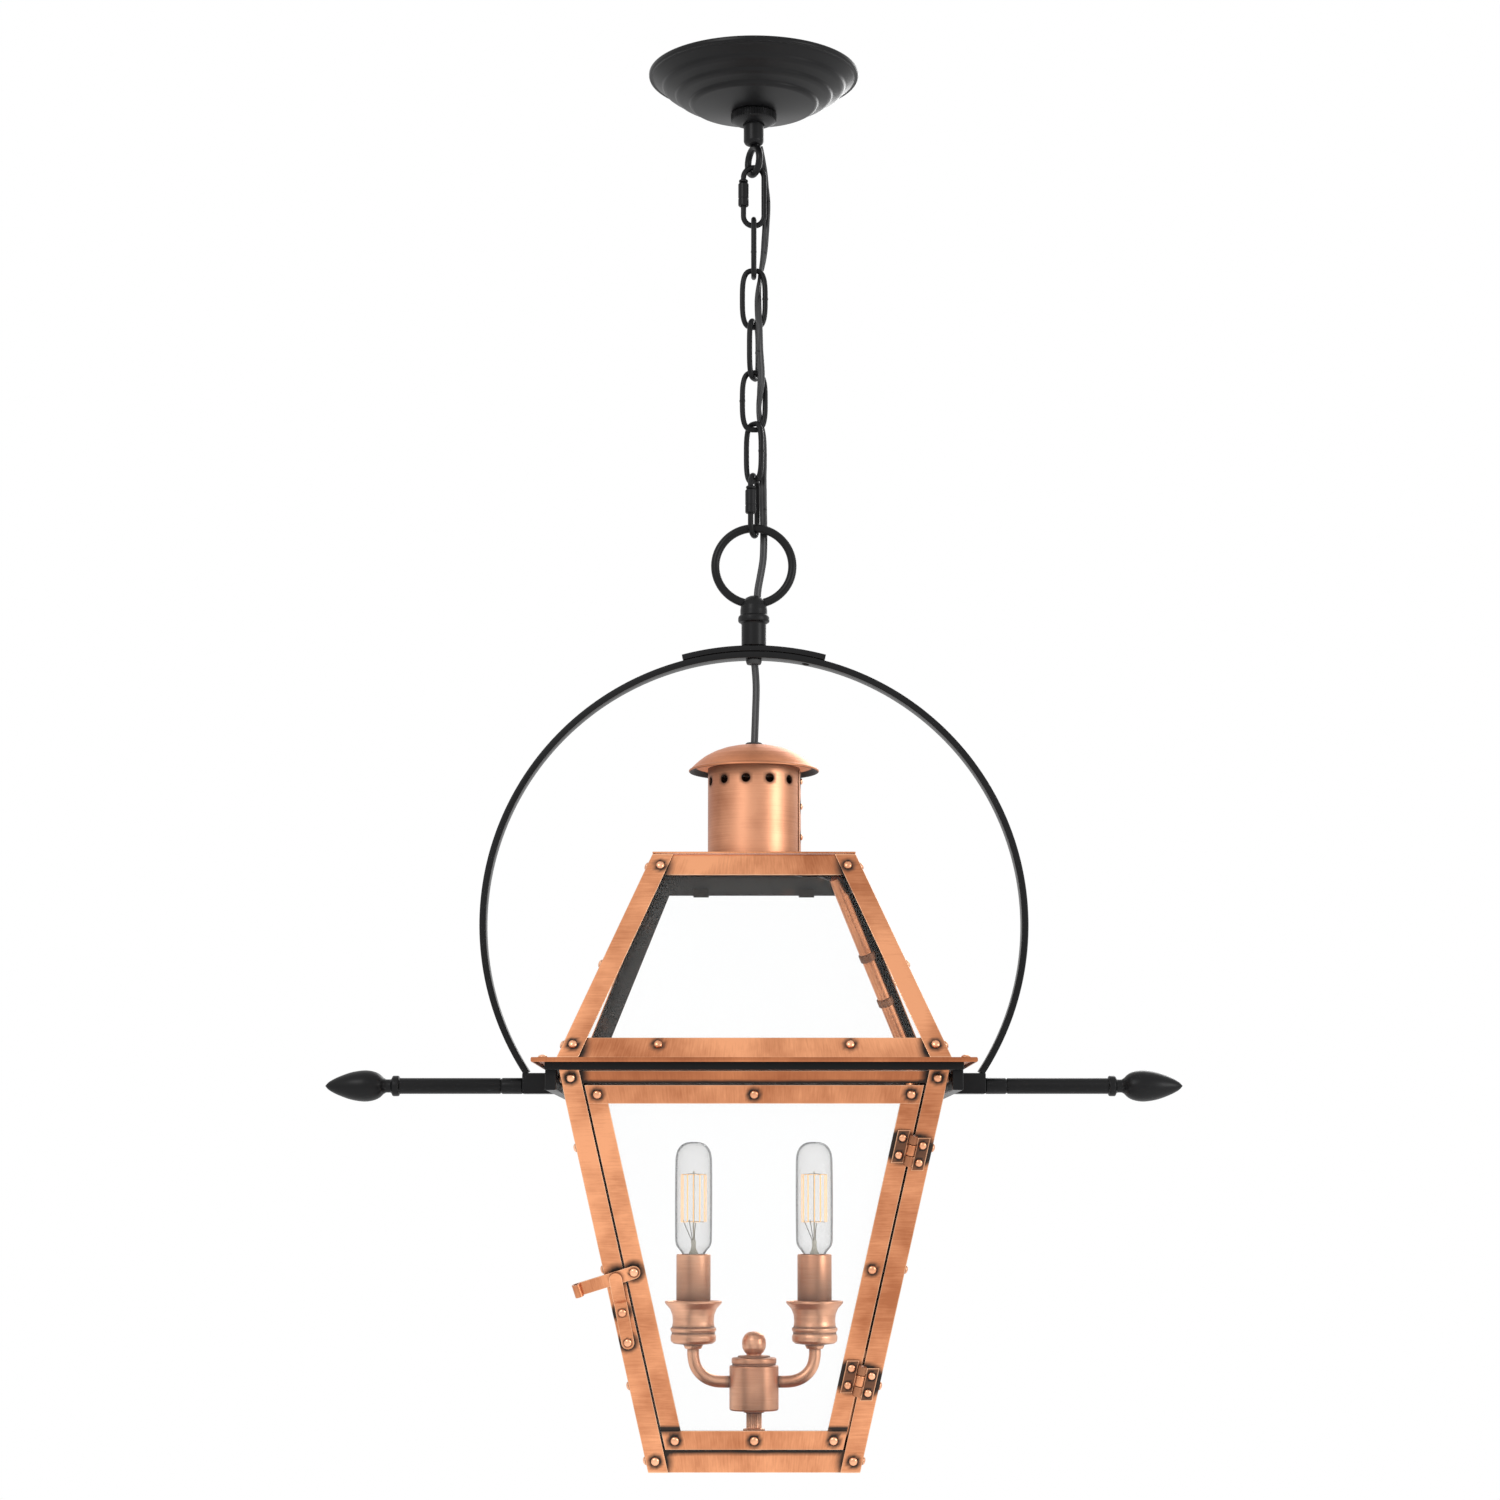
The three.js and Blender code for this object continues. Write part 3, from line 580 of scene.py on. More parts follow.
def add_studio():
    scene = bpy.context.scene
    scene.view_settings.view_transform = "Standard"
    scene.world = bpy.data.worlds.new("studio")
    scene.world.use_nodes = True
    background = scene.world.node_tree.nodes["Background"].inputs
    background["Color"].default_value = (1, 1, 1, 1)
    background["Strength"].default_value = 1.0
    add_light("key", (-1.5, -2.5, 0.9), (0, 0, -0.7), 0.9, 27)
    add_light("fill", (2.3, -1.5, -0.3), (0, 0, -0.7), 0.9, 24)
    add_light("rim", (0.9, 2.2, 0.6), (0, 0, -0.6), 1.4, 26)
    add_floor(3.4, -1.9)


# ---- Cords --------------------------------------------------------------------------------

CORD_ROUTE = [
    (4.6, 2.1, -53.9), (5.6, 2.7, -59), (6.6, 3.6, -65), (7.6, 4.7, -72), (8.2, 4.8, -82),
    (9.2, 4.8, -92), (9.3, 4.8, -100), (8.8, 4.8, -109), (8.2, 4.8, -119), (7.2, 4.8, -132),
    (5.9, 4.8, -141), (4.5, 4.7, -148), (4.1, 4.4, -152.5), (3.4, 3, -159), (3, 0.4, -168),
    (3.1, -2.6, -177), (3.5, -4.4, -184), (3.8, -4.5, -191), (4.1, -4.2, -204), (4.8, -4.3, -214),
    (5.2, -4.4, -221), (5.1, -4.5, -229), (4.3, -3.2, -237), (3.5, 0.2, -246), (4.3, 3.6, -254),
    (5.6, 4.9, -260), (6.6, 3.9, -267), (6.9, 2.4, -276), (6.8, 1.8, -286), (6.5, 1.7, -296),
    (6.6, 2.3, -308), (6.7, 3.8, -319), (6.9, 5.4, -328), (7, 5.5, -336), (6.9, 4.4, -345),
    (6.4, 2.8, -355), (4.5, 1.2, -367), (2.9, 0.5, -376), (2.4, 0.3, -382), (2.2, 0.2, -386),
]
CORD_TURNS = [  # how far the cord's wide side is turned from +X at each height
    (-53, -65), (-72, -45), (-85, 0), (-119, 0), (-141, 60), (-150, 88), (-159, 60), (-168, 25),
    (-184, 25), (-204, 0), (-229, -10), (-237, -50), (-246, -70), (-260, -50), (-276, -40),
    (-296, -20), (-319, 0), (-390, 0),
]
CORD_WIDE, CORD_THICK = 5.2, 2.7
PIVOTS = [-74.6, -112.95, -150.125, -187.325, -224.525, -261.725, -298.925, -337.85]


def cord_section():
    """Two round conductors side by side with a shallow valley between them."""
    r, reach = CORD_THICK / 2, (CORD_WIDE - CORD_THICK) / 2
    turns = np.linspace(-0.72 * math.pi, 0.72 * math.pi, 12)
    right = [(reach + r * math.cos(a), r * math.sin(a)) for a in turns]
    return right + [(-x, -y) for x, y in right]


def cord_piece(name, points, wide, replaces=()):
    return piece(name, CORD, None, "cord", [sweep(points, cord_section(), wide)], replaces, smooth=60)


def add_cords():
    route = smooth_points(CORD_ROUTE, 8)
    turn_z = [-z for z, _ in CORD_TURNS]
    turn_a = [a for _, a in CORD_TURNS]

    def wide_of(points):
        def wide(i):
            angle = math.radians(np.interp(-points[i].z, turn_z, turn_a))
            return (math.cos(angle), math.sin(angle), 0)
        return wide

    joints = [(a + b) / 2 for a, b in zip(PIVOTS, PIVOTS[1:])]
    limits = [0.0, *joints, -500.0]
    for i, pivot in enumerate(PIVOTS):
        inside = [k for k, p in enumerate(route) if limits[i + 1] <= p.z <= limits[i]]
        low, high = max(inside[0] - 1, 0), min(inside[-1] + 1, len(route) - 1)
        points = route[low:high + 1]
        obj = cord_piece(f"cord_{i + 1}", points, wide_of(points), ("cord_upper",) if i == 0 else ())
        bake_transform(obj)
    lower = smooth_points([(0.2, 0, -426.4), (0.9, 0, -433), (1.6, 0, -445), (1.1, 0, -465),
                           (0.4, 0, -484.3)])
    obj = cord_piece("cord_drop", lower, lambda i: (1, 0.35, 0), ("cord_lower",))
    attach(obj, "lantern")


# ---- Ceiling parts and chain --------------------------------------------------------------


def block(x0, x1, y0, y1, z0, z1):
    verts = [(x, y, z) for x in (x0, x1) for y in (y0, y1) for z in (z0, z1)]
    faces = [(0, 1, 3, 2), (4, 6, 7, 5), (0, 4, 5, 1), (2, 3, 7, 6), (0, 2, 6, 4), (1, 5, 7, 3)]
    return verts, faces


def torus(radius, wire, centre_z, yaw=0.0, segments=72, sides=18):
    """Closed ring standing in a vertical plane."""
    axis = Vector((math.cos(math.radians(yaw)), math.sin(math.radians(yaw)), 0))
    verts = []
    across = Vector((-axis.y, axis.x, 0))
    for i in range(segments):
        a = TAU * i / segments
        out = axis * math.cos(a) + Vector((0, 0, math.sin(a)))
        for j in range(sides):
            b = TAU * j / sides
            verts.append(out * (radius + wire / 2 * math.cos(b)) + across * (wire / 2 * math.sin(b))
                         + Vector((0, 0, centre_z)))
    return verts, strip_faces(segments, sides, wrap_rows=True)


def add_ceiling_parts():
    outer = fillet([
        (7.7, -28.6), (7.7, -29.4), (16, -29.4), (43.6, -24.9), (45.6, -23.6), (46.2, -21.6),
        (53, -19.4), (55.6, -17.9), (56.4, -15.9), (62.4, -13), (64.8, -11.1), (65.6, -9),
        (71.6, -4.6), (72.4, -3.6), (74.2, -3.9), (75, -2.9), (75, -0.7), (74.4, 0), (73.6, 0),
    ], 0.9, 3)
    inner = [(73.4, -1.4), (70.6, -3.4), (64.2, -8.2), (63.2, -10), (55, -14.6), (54, -16.6),
             (45, -20.4), (44, -22.6), (16, -28), (7.7, -28)]
    black_piece("canopy_dish", "canopy", [lathe(outer + inner, 128, closed=True)], ["canopy"], smooth=50)
    teeth = 54

    def knurl(k, j):
        return 0.2 if 3 <= k <= 6 and j % 4 in (0, 1) else -0.3 if 3 <= k <= 6 else 0.0

    collar = [(7.7, -38.2), (7.7, -29.7), (15.4, -29.7), (16.1, -30.3), (16.1, -31.8), (16.1, -33.6),
              (16.1, -35.2), (15.4, -35.9), (10.4, -38.2)]
    black_piece("lock_collar", "collar", [lathe(collar, 4 * teeth, knurl=knurl, closed=True)],
                ["canopy_collar"], smooth=28)
    neck = fillet([(0.01, -14), (7.2, -14), (7.2, -50.8), (6.2, -52.6), (4.6, -53.4), (0.01, -53.4)], 0.8)
    black_piece("canopy_loop_eye", "ceiling_fixing", [
        lathe(neck, 48), torus(9.5, 5, -65.1, -65)], ["canopy_loop"])
    black_piece("fixing_strap", "ceiling_fixing", [block(-48, 48, -7, 7, -2.8, 0)], ["crossbar"], bevel=0.5)
    threads = [(0.01, -3.1)]
    threads += [(4.7 - 0.5 * (i % 2), -3.1 - 0.55 * i) for i in range(20)] + [(0.01, -13.7)]
    black_piece("strap_nipple", "ceiling_fixing", [lathe(threads, 32)], ["threaded_nipple"])


def ring_path(width, length, wire, split, split_z, steps=24):
    """Centre line of a long ring in the XZ plane, open by a split in its -X leg."""
    r, straight = (width - wire) / 2, (length - width) / 2
    points = [(-r, 0, split_z + split / 2)]
    arc = [math.pi * (1 - i / steps) for i in range(steps + 1)]
    points += [(r * math.cos(a), 0, straight + r * math.sin(a)) for a in arc]
    points += [(-r * math.cos(a), 0, -straight - r * math.sin(a)) for a in arc]
    points.append((-r, 0, split_z - split / 2))
    return points


def placed(part, yaw, z):
    c, s = math.cos(math.radians(yaw)), math.sin(math.radians(yaw))
    verts = [Vector((c * p[0] - s * p[1], s * p[0] + c * p[1], p[2] + z)) for p in part[0]]
    return (verts, *part[1:])


def oval_path(width, length, wire, split, steps=64):
    """Centre line of a welded chain link: long sides that bow a little, and a butt joint in one."""
    a, b, power = (width - wire) / 2, (length - wire) / 2, 2 / 3.2
    gap = math.asin((split / 2 / b) ** (1 / power))
    points = []
    for i in range(steps + 1):
        angle = math.pi - gap - (TAU - 2 * gap) * i / steps
        c, s = math.cos(angle), math.sin(angle)
        points.append((math.copysign(abs(c) ** power, c) * a, 0, math.copysign(abs(s) ** power, s) * b))
    return points


LINK_WIDTH, LINK_LENGTH, LINK_WIRE = 20, 45.2, 3.85


def add_link(name, body, node, yaw, centre, mark_side):
    path = [Vector(p) for p in oval_path(LINK_WIDTH, LINK_LENGTH, LINK_WIRE, 0.3)]
    part = sweep(path, round_section(LINK_WIRE / 2, 18), lambda i: (0, 1, 0))
    bulge = 8.075
    seam = fillet([(1.7, -1.1), (2.12, -0.8), (2.16, 0), (2.12, 0.8), (1.7, 1.1)], 0.3)
    weld = lathe(seam + [(1.7, 1.1)], 24, (-bulge, 0, 0), closed=True)
    turn = yaw + (180 if mark_side > 0 else 0)
    black_piece(name, body, [placed(part, turn, centre), placed(weld, turn, centre)], [node])


def add_quick_link(which, body, yaw, centre):
    path = [Vector(p) for p in ring_path(18.5, 47, 3.9, 5.4, 6.1)]
    leg = -7.3
    part = sweep(path, round_section(1.95, 18), lambda i: (0, 1, 0))
    ear = fillet([(0.01, 10.3), (2.6, 10.3), (3.3, 10.8), (3.3, 12), (2.6, 12.6), (0.01, 12.6)], 0.4)
    ear_part = lathe(ear, 24, (leg, 0, 0))
    black_piece(f"{which}_quick_ring", body, [placed(part, yaw, centre), placed(ear_part, yaw, centre)],
                [f"{which}_quick_link"])
    sleeve = [(2.25, -8.5), (3.2, -8.5), (3.8, -7.7), (3.8, -3.4), (3.55, -3.1), (3.55, -2.5), (3.8, -2.2),
              (3.8, 7.7), (3.2, 8.5), (2.25, 8.5)]
    black_piece(f"{which}_sleeve", f"{which}_nut", [
        placed(lathe(sleeve, 6 * 8, (leg, 0, 1.4), closed=True), yaw, centre)], [f"{which}_nut"])


def add_chain():
    add_quick_link("upper", "upper_link", 0, -67.9 - 23.5)
    for i, (yaw, side) in enumerate([(90, 1), (0, 1), (68, 1), (5, -1), (-50, 1)]):
        add_link(f"chain_ring_{i + 1}", f"link_{i + 1}", f"chain_link_{i + 1}", yaw,
                 -106.85 - 37.2 * i - 22.6, side)
    add_quick_link("lower", "lower_link", 72, -292.8 - 23.5)


# ---- Suspension, hoop, yoke and bars ------------------------------------------------------


def arc_band(inner, outer, wide, from_deg, to_deg, steps, radius):
    """Flat band bent about the hoop's centre; angles are from +Z towards +X."""
    middle = (inner + outer) / 2
    points = []
    for i in range(steps + 1):
        a = math.radians(from_deg + (to_deg - from_deg) * i / steps)
        points.append(Vector((middle * math.sin(a), 0, HOOP_CENTRE + middle * math.cos(a))))
    section = soft_rectangle(wide, outer - inner, radius)
    return sweep(points, section, lambda i: (0, 1, 0))


def add_suspension():
    hub = [(0.01, -380.6), (2.8, -381), (5.6, -382.4), (7.8, -384.8), (9.1, -388), (9.5, -391), (9.5, -394.6)]
    hub += [(9.9, -395), (10.6, -395.5), (11, -396.6), (11, -398.7), (10.6, -399.7), (9.9, -400)]
    hub += [(9.2, -400.4), (8.65, -401.2), (8.65, -416.2), (8.3, -416.7), (0.01, -416.7)]
    black_piece("suspension_ring", "lantern", [lathe(fillet(hub, 0.5, 3), 72), torus(27, 6, -359.6)],
                ["suspension_hub"], smooth=40)
    half = math.degrees(math.acos((HOOP_END - HOOP_CENTRE) / (HOOP_OUTER - HOOP_THICK / 2)))
    black_piece("hoop_band", "lantern", [
        arc_band(HOOP_OUTER - HOOP_THICK, HOOP_OUTER, 15, -half, half, 160, 0.7)], ["hoop"], smooth=50)
    span = math.degrees(math.asin(49.6 / 190.75))
    black_piece("hoop_saddle", "lantern", [
        arc_band(HOOP_OUTER + 0.3, HOOP_OUTER + 4.2, 15, -span, span, 40, 0.6)], ["saddle_plate"], smooth=50)
    bushing = fillet([(2.6, -426), (5.5, -426), (5.5, -427.6), (4.9, -429.5), (2.6, -429.5)], 0.4)
    piece("bushing_under_hoop", RUBBER, "lantern", "rubber", [lathe(bushing, 40, closed=True)],
          ["hoop_bushing"])
    inside = HOOP_OUTER - HOOP_THICK
    screw = math.asin(36 / inside)
    at = Vector((inside * math.sin(screw), 0, HOOP_CENTRE + inside * math.cos(screw)))
    down = Vector((-math.sin(screw), 0, -math.cos(screw)))
    head = [(0.01, -0.2), (2.6, -0.2), (2.6, 0.3), (1.9, 0.9), (0.9, 0.9), (0.8, 0.3), (0.01, 0.3)]
    black_piece("saddle_screw", "lantern", [lathe(head, 24, at, down)])


def add_yoke():
    out, inn = 134.4, 127.5
    parts = [
        block(-out, out, -out, -inn, -715.7, -709.5), block(-out, out, inn, out, -715.7, -709.5),
        block(inn, out, -inn + 0.01, inn - 0.01, -728.5, -709.5),
        block(-out, -inn, -inn + 0.01, inn - 0.01, -728.5, -709.5),
        block(out - 0.5, 158, -7.5, 7.5, -727, -713), block(-158, 0.5 - out, -7.5, 7.5, -727, -713),
    ]
    black_piece("yoke_bars", "lantern", parts, ["yoke_frame"], bevel=0.6)
    for name, side in (("right", 1), ("left", -1)):
        profile = fillet([
            (0.01, 0), (5.2, 0), (5.5, 0.4), (5.5, 13.5), (4.9, 14), (4.9, 14.5), (5.4, 15), (5.4, 83.6),
            (6.6, 84), (7, 84.8), (7, 88), (6.5, 88.7), (5.2, 89.2), (4.5, 90), (4.5, 93), (5.4, 94.6),
        ], 0.3, 2)
        egg = [(5.4, 94.6), (8, 97.4), (9.7, 101), (10.6, 106), (10.4, 111), (9.3, 117), (7.3, 123),
               (4.9, 128.5), (2.4, 132.6), (0.01, 134.7)]
        line = [tuple(p)[:2] for p in smooth_points([(r, z, 0) for r, z in egg], 4)]
        black_piece(f"bar_{name}", "lantern", [
            lathe(profile + line[1:], 56, (side * 158.3, 0, -721.6), (side, 0, 0))], [f"side_bar_{name}"])


# ---- Roof and chimney ---------------------------------------------------------------------


def wall_strip(half, z0, z1, x0, x1, inset, thick, rows, columns, quarter=0):
    """Strip in the front wall: x0(z) and x1(z) are its sides, and inset is how far its face lies inside."""
    def corner(u, v):
        z = z0 + (z1 - z0) * u
        return (x0(z) + (x1(z) - x0(z)) * v, inset - half(z), z)

    slope = (half(z1) - half(z0)) / (z1 - z0)
    normal = (0, -1, -slope)
    middle = (z0 + z1) / 2
    along = abs(z1 - z0) * math.hypot(1, slope)
    across = abs(x1(middle) - x0(middle))
    part = plate(corner, along, across, thick, normal, rows, columns)
    if across > along:  # the grain runs along the longer side
        part = (part[0], part[1], [(g[1], g[0], g[2]) for g in part[2]], *part[3:])
    return turned_about_z(part, quarter)


def corner_strip(half, z0, z1, width, rows, quarter):
    """Folded strip along the edge between two walls, as two leaves that share the corner."""
    away = [width, width - 0.7] + [width * t for t in (0.75, 0.5, 0.25)] + [0.7]
    outline = [(0.0, -d, d) for d in away] + [(-0.12, -0.12, 0.0)] + [(-d, 0.0, d) for d in reversed(away)]
    outer = len(outline)
    t = SHEET
    outline += [(-d, -t, d) for d in (width, width * 0.6, t)]
    outline += [(-t, -d, d) for d in (width * 0.6, width)]
    verts, grain, patina, edge_glint = [], [], [], []
    for i in range(rows + 1):
        z = z0 + (z1 - z0) * i / rows
        end = min(abs(z - z0), abs(z1 - z))
        for j, (x, y, d) in enumerate(outline):
            verts.append(Vector((half(z) + x, half(z) + y, z)))
            grain.append((z - z0, j * 1.9, 0))
            # Inner faces painted dark as shade; the outer edges and ends get a painted highlight.
            patina.append(0.0 if j < outer else 1.0)
            edge = min(d, width - d)
            edge_glint.append(max(0.0, 1 - edge / 0.7, 1 - end / 1.0) if j < outer else 0.0)
    faces = flipped(strip_faces(rows + 1, len(outline)))
    n = len(outline)
    faces += [tuple(range(n)), tuple(rows * n + j for j in reversed(range(n)))]
    faces = facing(verts, faces, (1, 0.01, 0))
    return turned_about_z((verts, faces, grain, patina, edge_glint), quarter)


def square_band(half, z0, z1, inset, thick, quarter, rows=6, columns=60):
    """One side of a rail that runs round the lantern."""
    return wall_strip(half, z0, z1, lambda z: -half(z) + inset, lambda z: half(z) - inset, inset, thick,
                      rows, columns, quarter)


def edge_shade(part, level, reach=1.1):
    """Darkens a strip along its edge at the given height."""
    verts, faces, grain, patina, edge_glint = part
    near = [max(0.0, 1 - abs(p.z - level) / reach) > 0 for p in verts]
    dark = [1.0 if n else p for p, n in zip(patina, near)]
    return verts, faces, grain, dark, [0.0 if n else w for n, w in zip(near, edge_glint)]


def mitred_ring(profile, side_steps):
    """Ring of constant square section: profile is a closed [half width, z] outline."""
    corners = [(-1, -1), (1, -1), (1, 1), (-1, 1)]
    verts, grain = [], []
    for k in range(4):
        (ax, ay), (bx, by) = corners[k], corners[(k + 1) % 4]
        for i in range(side_steps):
            t = i / side_steps
            for j, (h, z) in enumerate(profile):
                verts.append(Vector(((ax + (bx - ax) * t) * h, (ay + (by - ay) * t) * h, z)))
                grain.append((i * 240 / side_steps, j * 2, 0))
    faces = strip_faces(4 * side_steps, len(profile), wrap_rows=True)
    return verts, faces if signed_area(profile) > 0 else flipped(faces), grain


def wall_rivets(half, places, out=0.0, quarters=(0, 1, 2, 3)):
    """Rivets on the walls at (x, z), standing on a face that is out in front of the wall."""
    slope = (half(-600) - half(-700)) / 100
    found = []
    for quarter in quarters:
        c, s = QUARTER_TURNS[quarter]
        for x, z in places:
            y = -half(z) - out
            normal = Vector((0, -1, -slope))
            turn = Quaternion((0, 0, 1), quarter * math.pi / 2)
            found.append((Vector((c * x - s * y, s * x + c * y, z)), turn @ normal))
    return found


# Painted shade rings round the given points, such as rivets.
def halos_of(rivets, inner=3.3, outer=6.8):
    return [(at, inner, outer) for at, _ in rivets]


CORNER_NAMES = ["back_right", "back_left", "front_left", "front_right"]
SIDE_NAMES = ["front", "right", "back", "left"]


def add_roof():
    hip_places = [(s * (roof_half(z) - dx), z) for s in (-1, 1) for z, dx in ((-577.5, 8.8), (-699, 6.6))]
    hip_rivets = wall_rivets(roof_half, hip_places)
    rail_rivets = wall_rivets(roof_half, [(-62, -699), (62, -699)], -1.5)
    side_rivets = wall_rivets(roof_half, [(s * (roof_half(-645) - 6.4), -645) for s in (-1, 1)], 0, (1, 3))
    for i, corner in enumerate(CORNER_NAMES):
        copper_piece(f"hip_{corner}", "lantern", [
            corner_strip(roof_half, ROOF_TOP, ROOF_BOTTOM, HIP_WIDTH, 90, i)],
            [f"roof_hip_{corner}"], halos_of(hip_rivets + side_rivets))
    top, base = [], []
    for quarter in range(4):
        top.append(square_band(roof_half, -569.7, -584, 1.5, SHEET, quarter, 6, 50))
        base.append(square_band(roof_half, -694.5, -707.5, 1.5, SHEET, quarter, 6, 90))
    # Painted shade on the rails near the corners, where they pass under the hip strips.
    corner_shade = [((x, y, z), 12.5, 21) for z, h in ((-577, 71), (-700, 123)) for x in (-h, h) for y in (-h, h)]
    copper_piece("roof_rail_top", "lantern", top, ["roof_top_rail"], corner_shade)
    copper_piece("roof_rail_base", "lantern", base, ["roof_base_rail"], halos_of(rail_rivets) + corner_shade)
    rivet_piece("roof_rivets", "lantern", hip_rivets + rail_rivets + side_rivets)
    # Painted shade round the chimney's foot on the roof plate.
    copper_piece("roof_plate", "lantern", [
        square_hole_plate(67.9, 30, -568, -569.2)], ["roof_top_plate"], [((0, 0, -568), 34, 44)])
    for i, side in enumerate(SIDE_NAMES):
        part = wall_strip(roof_half, -572, -706.5, lambda z: 5.3 - roof_half(z), lambda z: roof_half(z) - 5.3,
                          3.0, 2.0, 2, 2, i)
        piece(f"roof_pane_{side}", PANE, "lantern", "clear_glass", [part], [f"roof_glass_{side}"], bevel=0.2)


def square_hole_plate(half, hole, z_top, z_bottom, around=64):
    """Square plate with a round hole."""
    verts, faces = [], []
    for z in (z_top, z_bottom):
        for i in range(around):
            a = TAU * i / around + math.pi / 4
            c, s = math.cos(a), math.sin(a)
            reach = half / max(abs(c), abs(s))
            for t in (0, 0.15, 0.4, 1):
                r = hole + (reach - hole) * t
                verts.append(Vector((r * c, r * s, z)))
    n = around * 4
    for a, b, c, d in strip_faces(around, 4, wrap_rows=True, wrap_columns=False):
        faces += [(d, c, b, a)[::-1], (n + a, n + b, n + c, n + d)[::-1]]
    for i in range(around):
        k = (i + 1) % around
        faces.append((i * 4 + 3, n + i * 4 + 3, n + k * 4 + 3, k * 4 + 3))
        faces.append((k * 4, n + k * 4, n + i * 4, i * 4))
    # Painted shade: the underside dark, the top faintly darkened.
    return verts, faces, None, [0.1] * n + [1.0, 1.0, 1.0, 0.1] * around


def add_eave():
    half, opening = 142.7, 122.8
    profile = [(opening, -709.2), (half - 1.7, -709.2), (half - 1.7, -710.4), (half - 1.2, -711),
               (half - 0.4, -711), (half, -710.4), (half, -708.7), (half - 0.5, -708), (opening, -708)]
    corners = [(s * 135.5, t * 135.5) for s in (-1, 1) for t in (-1, 1)]
    top = [(Vector((x, y, -708)), Vector((0, 0, 1))) for x, y in corners]
    tails = [(Vector((x * 1.03, y * 1.03, -709.2)), Vector((0, 0, -1))) for x, y in corners]
    copper_piece("eave", "lantern", [mitred_ring(profile, 40)], ["eave_flange"], halos_of(top), SHADED, 0)
    rivet_piece("eave_rivets", "lantern", top, 3.0, 1.9)
    rivet_piece("eave_rivet_tails", "lantern", tails, 2.1, 1.4)


VENTS, VENT_LEVEL, VENT_RADIUS, FIRST_VENT = 12, -513, 3.1, 20
TUBE_RADIUS, TUBE_WALL = 31.85, 1.2
SEAM_RADIUS, SEAM_ANGLE = 32.5, math.radians(83)


def vent_rings(width, reach, side):
    """Closed lines from a vent's round rim out to the rectangle of tube round it."""
    square = [(-width / 2 + width * i / side, -reach) for i in range(side)]
    square += [(width / 2, -reach + 2 * reach * i / side) for i in range(side)]
    square += [(width / 2 - width * i / side, reach) for i in range(side)]
    square += [(-width / 2, reach - 2 * reach * i / side) for i in range(side)]
    circle = []
    for u, v in square:
        d = math.hypot(u, v)
        circle.append((VENT_RADIUS * u / d, VENT_RADIUS * v / d))
    return [[(c[0] + (s[0] - c[0]) * t, c[1] + (s[1] - c[1]) * t) for s, c in zip(square, circle)]
            for t in (0, 0.12, 0.5, 1)]


def tube_patina(p):
    """Painted shade: dark inside, and at the foot, under the cap and round each vent."""
    if math.hypot(p.x, p.y) < TUBE_RADIUS - 0.3:
        return 1.0
    shade = 0.3 * max(0, 1 - (p.z + 567.7) / 4) + 0.45 * max(0, 1 - (-503 - p.z) / 8)
    pitch = 360 // VENTS
    angle = (math.degrees(math.atan2(p.x, -p.y)) - FIRST_VENT) % pitch
    near = math.hypot(min(angle, pitch - angle) * math.pi / 180 * TUBE_RADIUS, p.z - VENT_LEVEL)
    return max(shade, 0.75 * max(0, min(1, (5.6 - near) / 2.6)))


def chimney_tube():
    """Tube with a ring of vents, built patch by patch so that each one has a clean rim."""
    radius, reach, side = TUBE_RADIUS, 6.2, 6
    width = TAU / VENTS * radius
    rings = vent_rings(width, reach, side)
    index, verts, faces = {}, [], []

    def vertex(u, v, layer):
        u %= TAU * radius
        key = (round(u, 3) % round(TAU * radius, 3), round(v, 3), layer)
        if key not in index:
            index[key] = len(verts)
            a, r = u / radius, radius - TUBE_WALL * layer
            verts.append(Vector((r * math.sin(a), -r * math.cos(a), VENT_LEVEL + v)))
        return index[key]

    def quad(a, b, c, d):
        faces.append(tuple(vertex(u, v, 0) for u, v in (a, b, c, d)))
        faces.append(tuple(vertex(u, v, 1) for u, v in (d, c, b, a)))

    levels = [-54.7, -40, -25, -12, -reach]
    n = len(rings[0])
    for k in range(VENTS):
        centre = math.radians(FIRST_VENT + 360 // VENTS * k) * radius
        for inner, outer in zip(rings, rings[1:]):
            for i in range(n):
                j = (i + 1) % n
                quad(*[(centre + u, v) for u, v in (outer[i], outer[j], inner[j], inner[i])])
        for i in range(n):
            j = (i + 1) % n
            (a, b), (c, d) = rings[0][i], rings[0][j]
            faces.append((vertex(centre + a, b, 0), vertex(centre + c, d, 0),
                          vertex(centre + c, d, 1), vertex(centre + a, b, 1))[::-1])
        for i in range(side):
            u0, u1 = centre - width / 2 + width * i / side, centre - width / 2 + width * (i + 1) / side
            for low, high in [*zip(levels, levels[1:]), (reach, 10.0)]:
                quad((u0, low), (u1, low), (u1, high), (u0, high))
            for v, flip in ((levels[0], 1), (10.0, -1)):
                rim = (vertex(u0, v, 0), vertex(u0, v, 1), vertex(u1, v, 1), vertex(u1, v, 0))
                faces.append(rim[::flip])
    grain = [(math.atan2(p.x, -p.y) * 10, p.z, 0) for p in verts]
    return verts, flipped(faces), grain, [tube_patina(p) for p in verts]


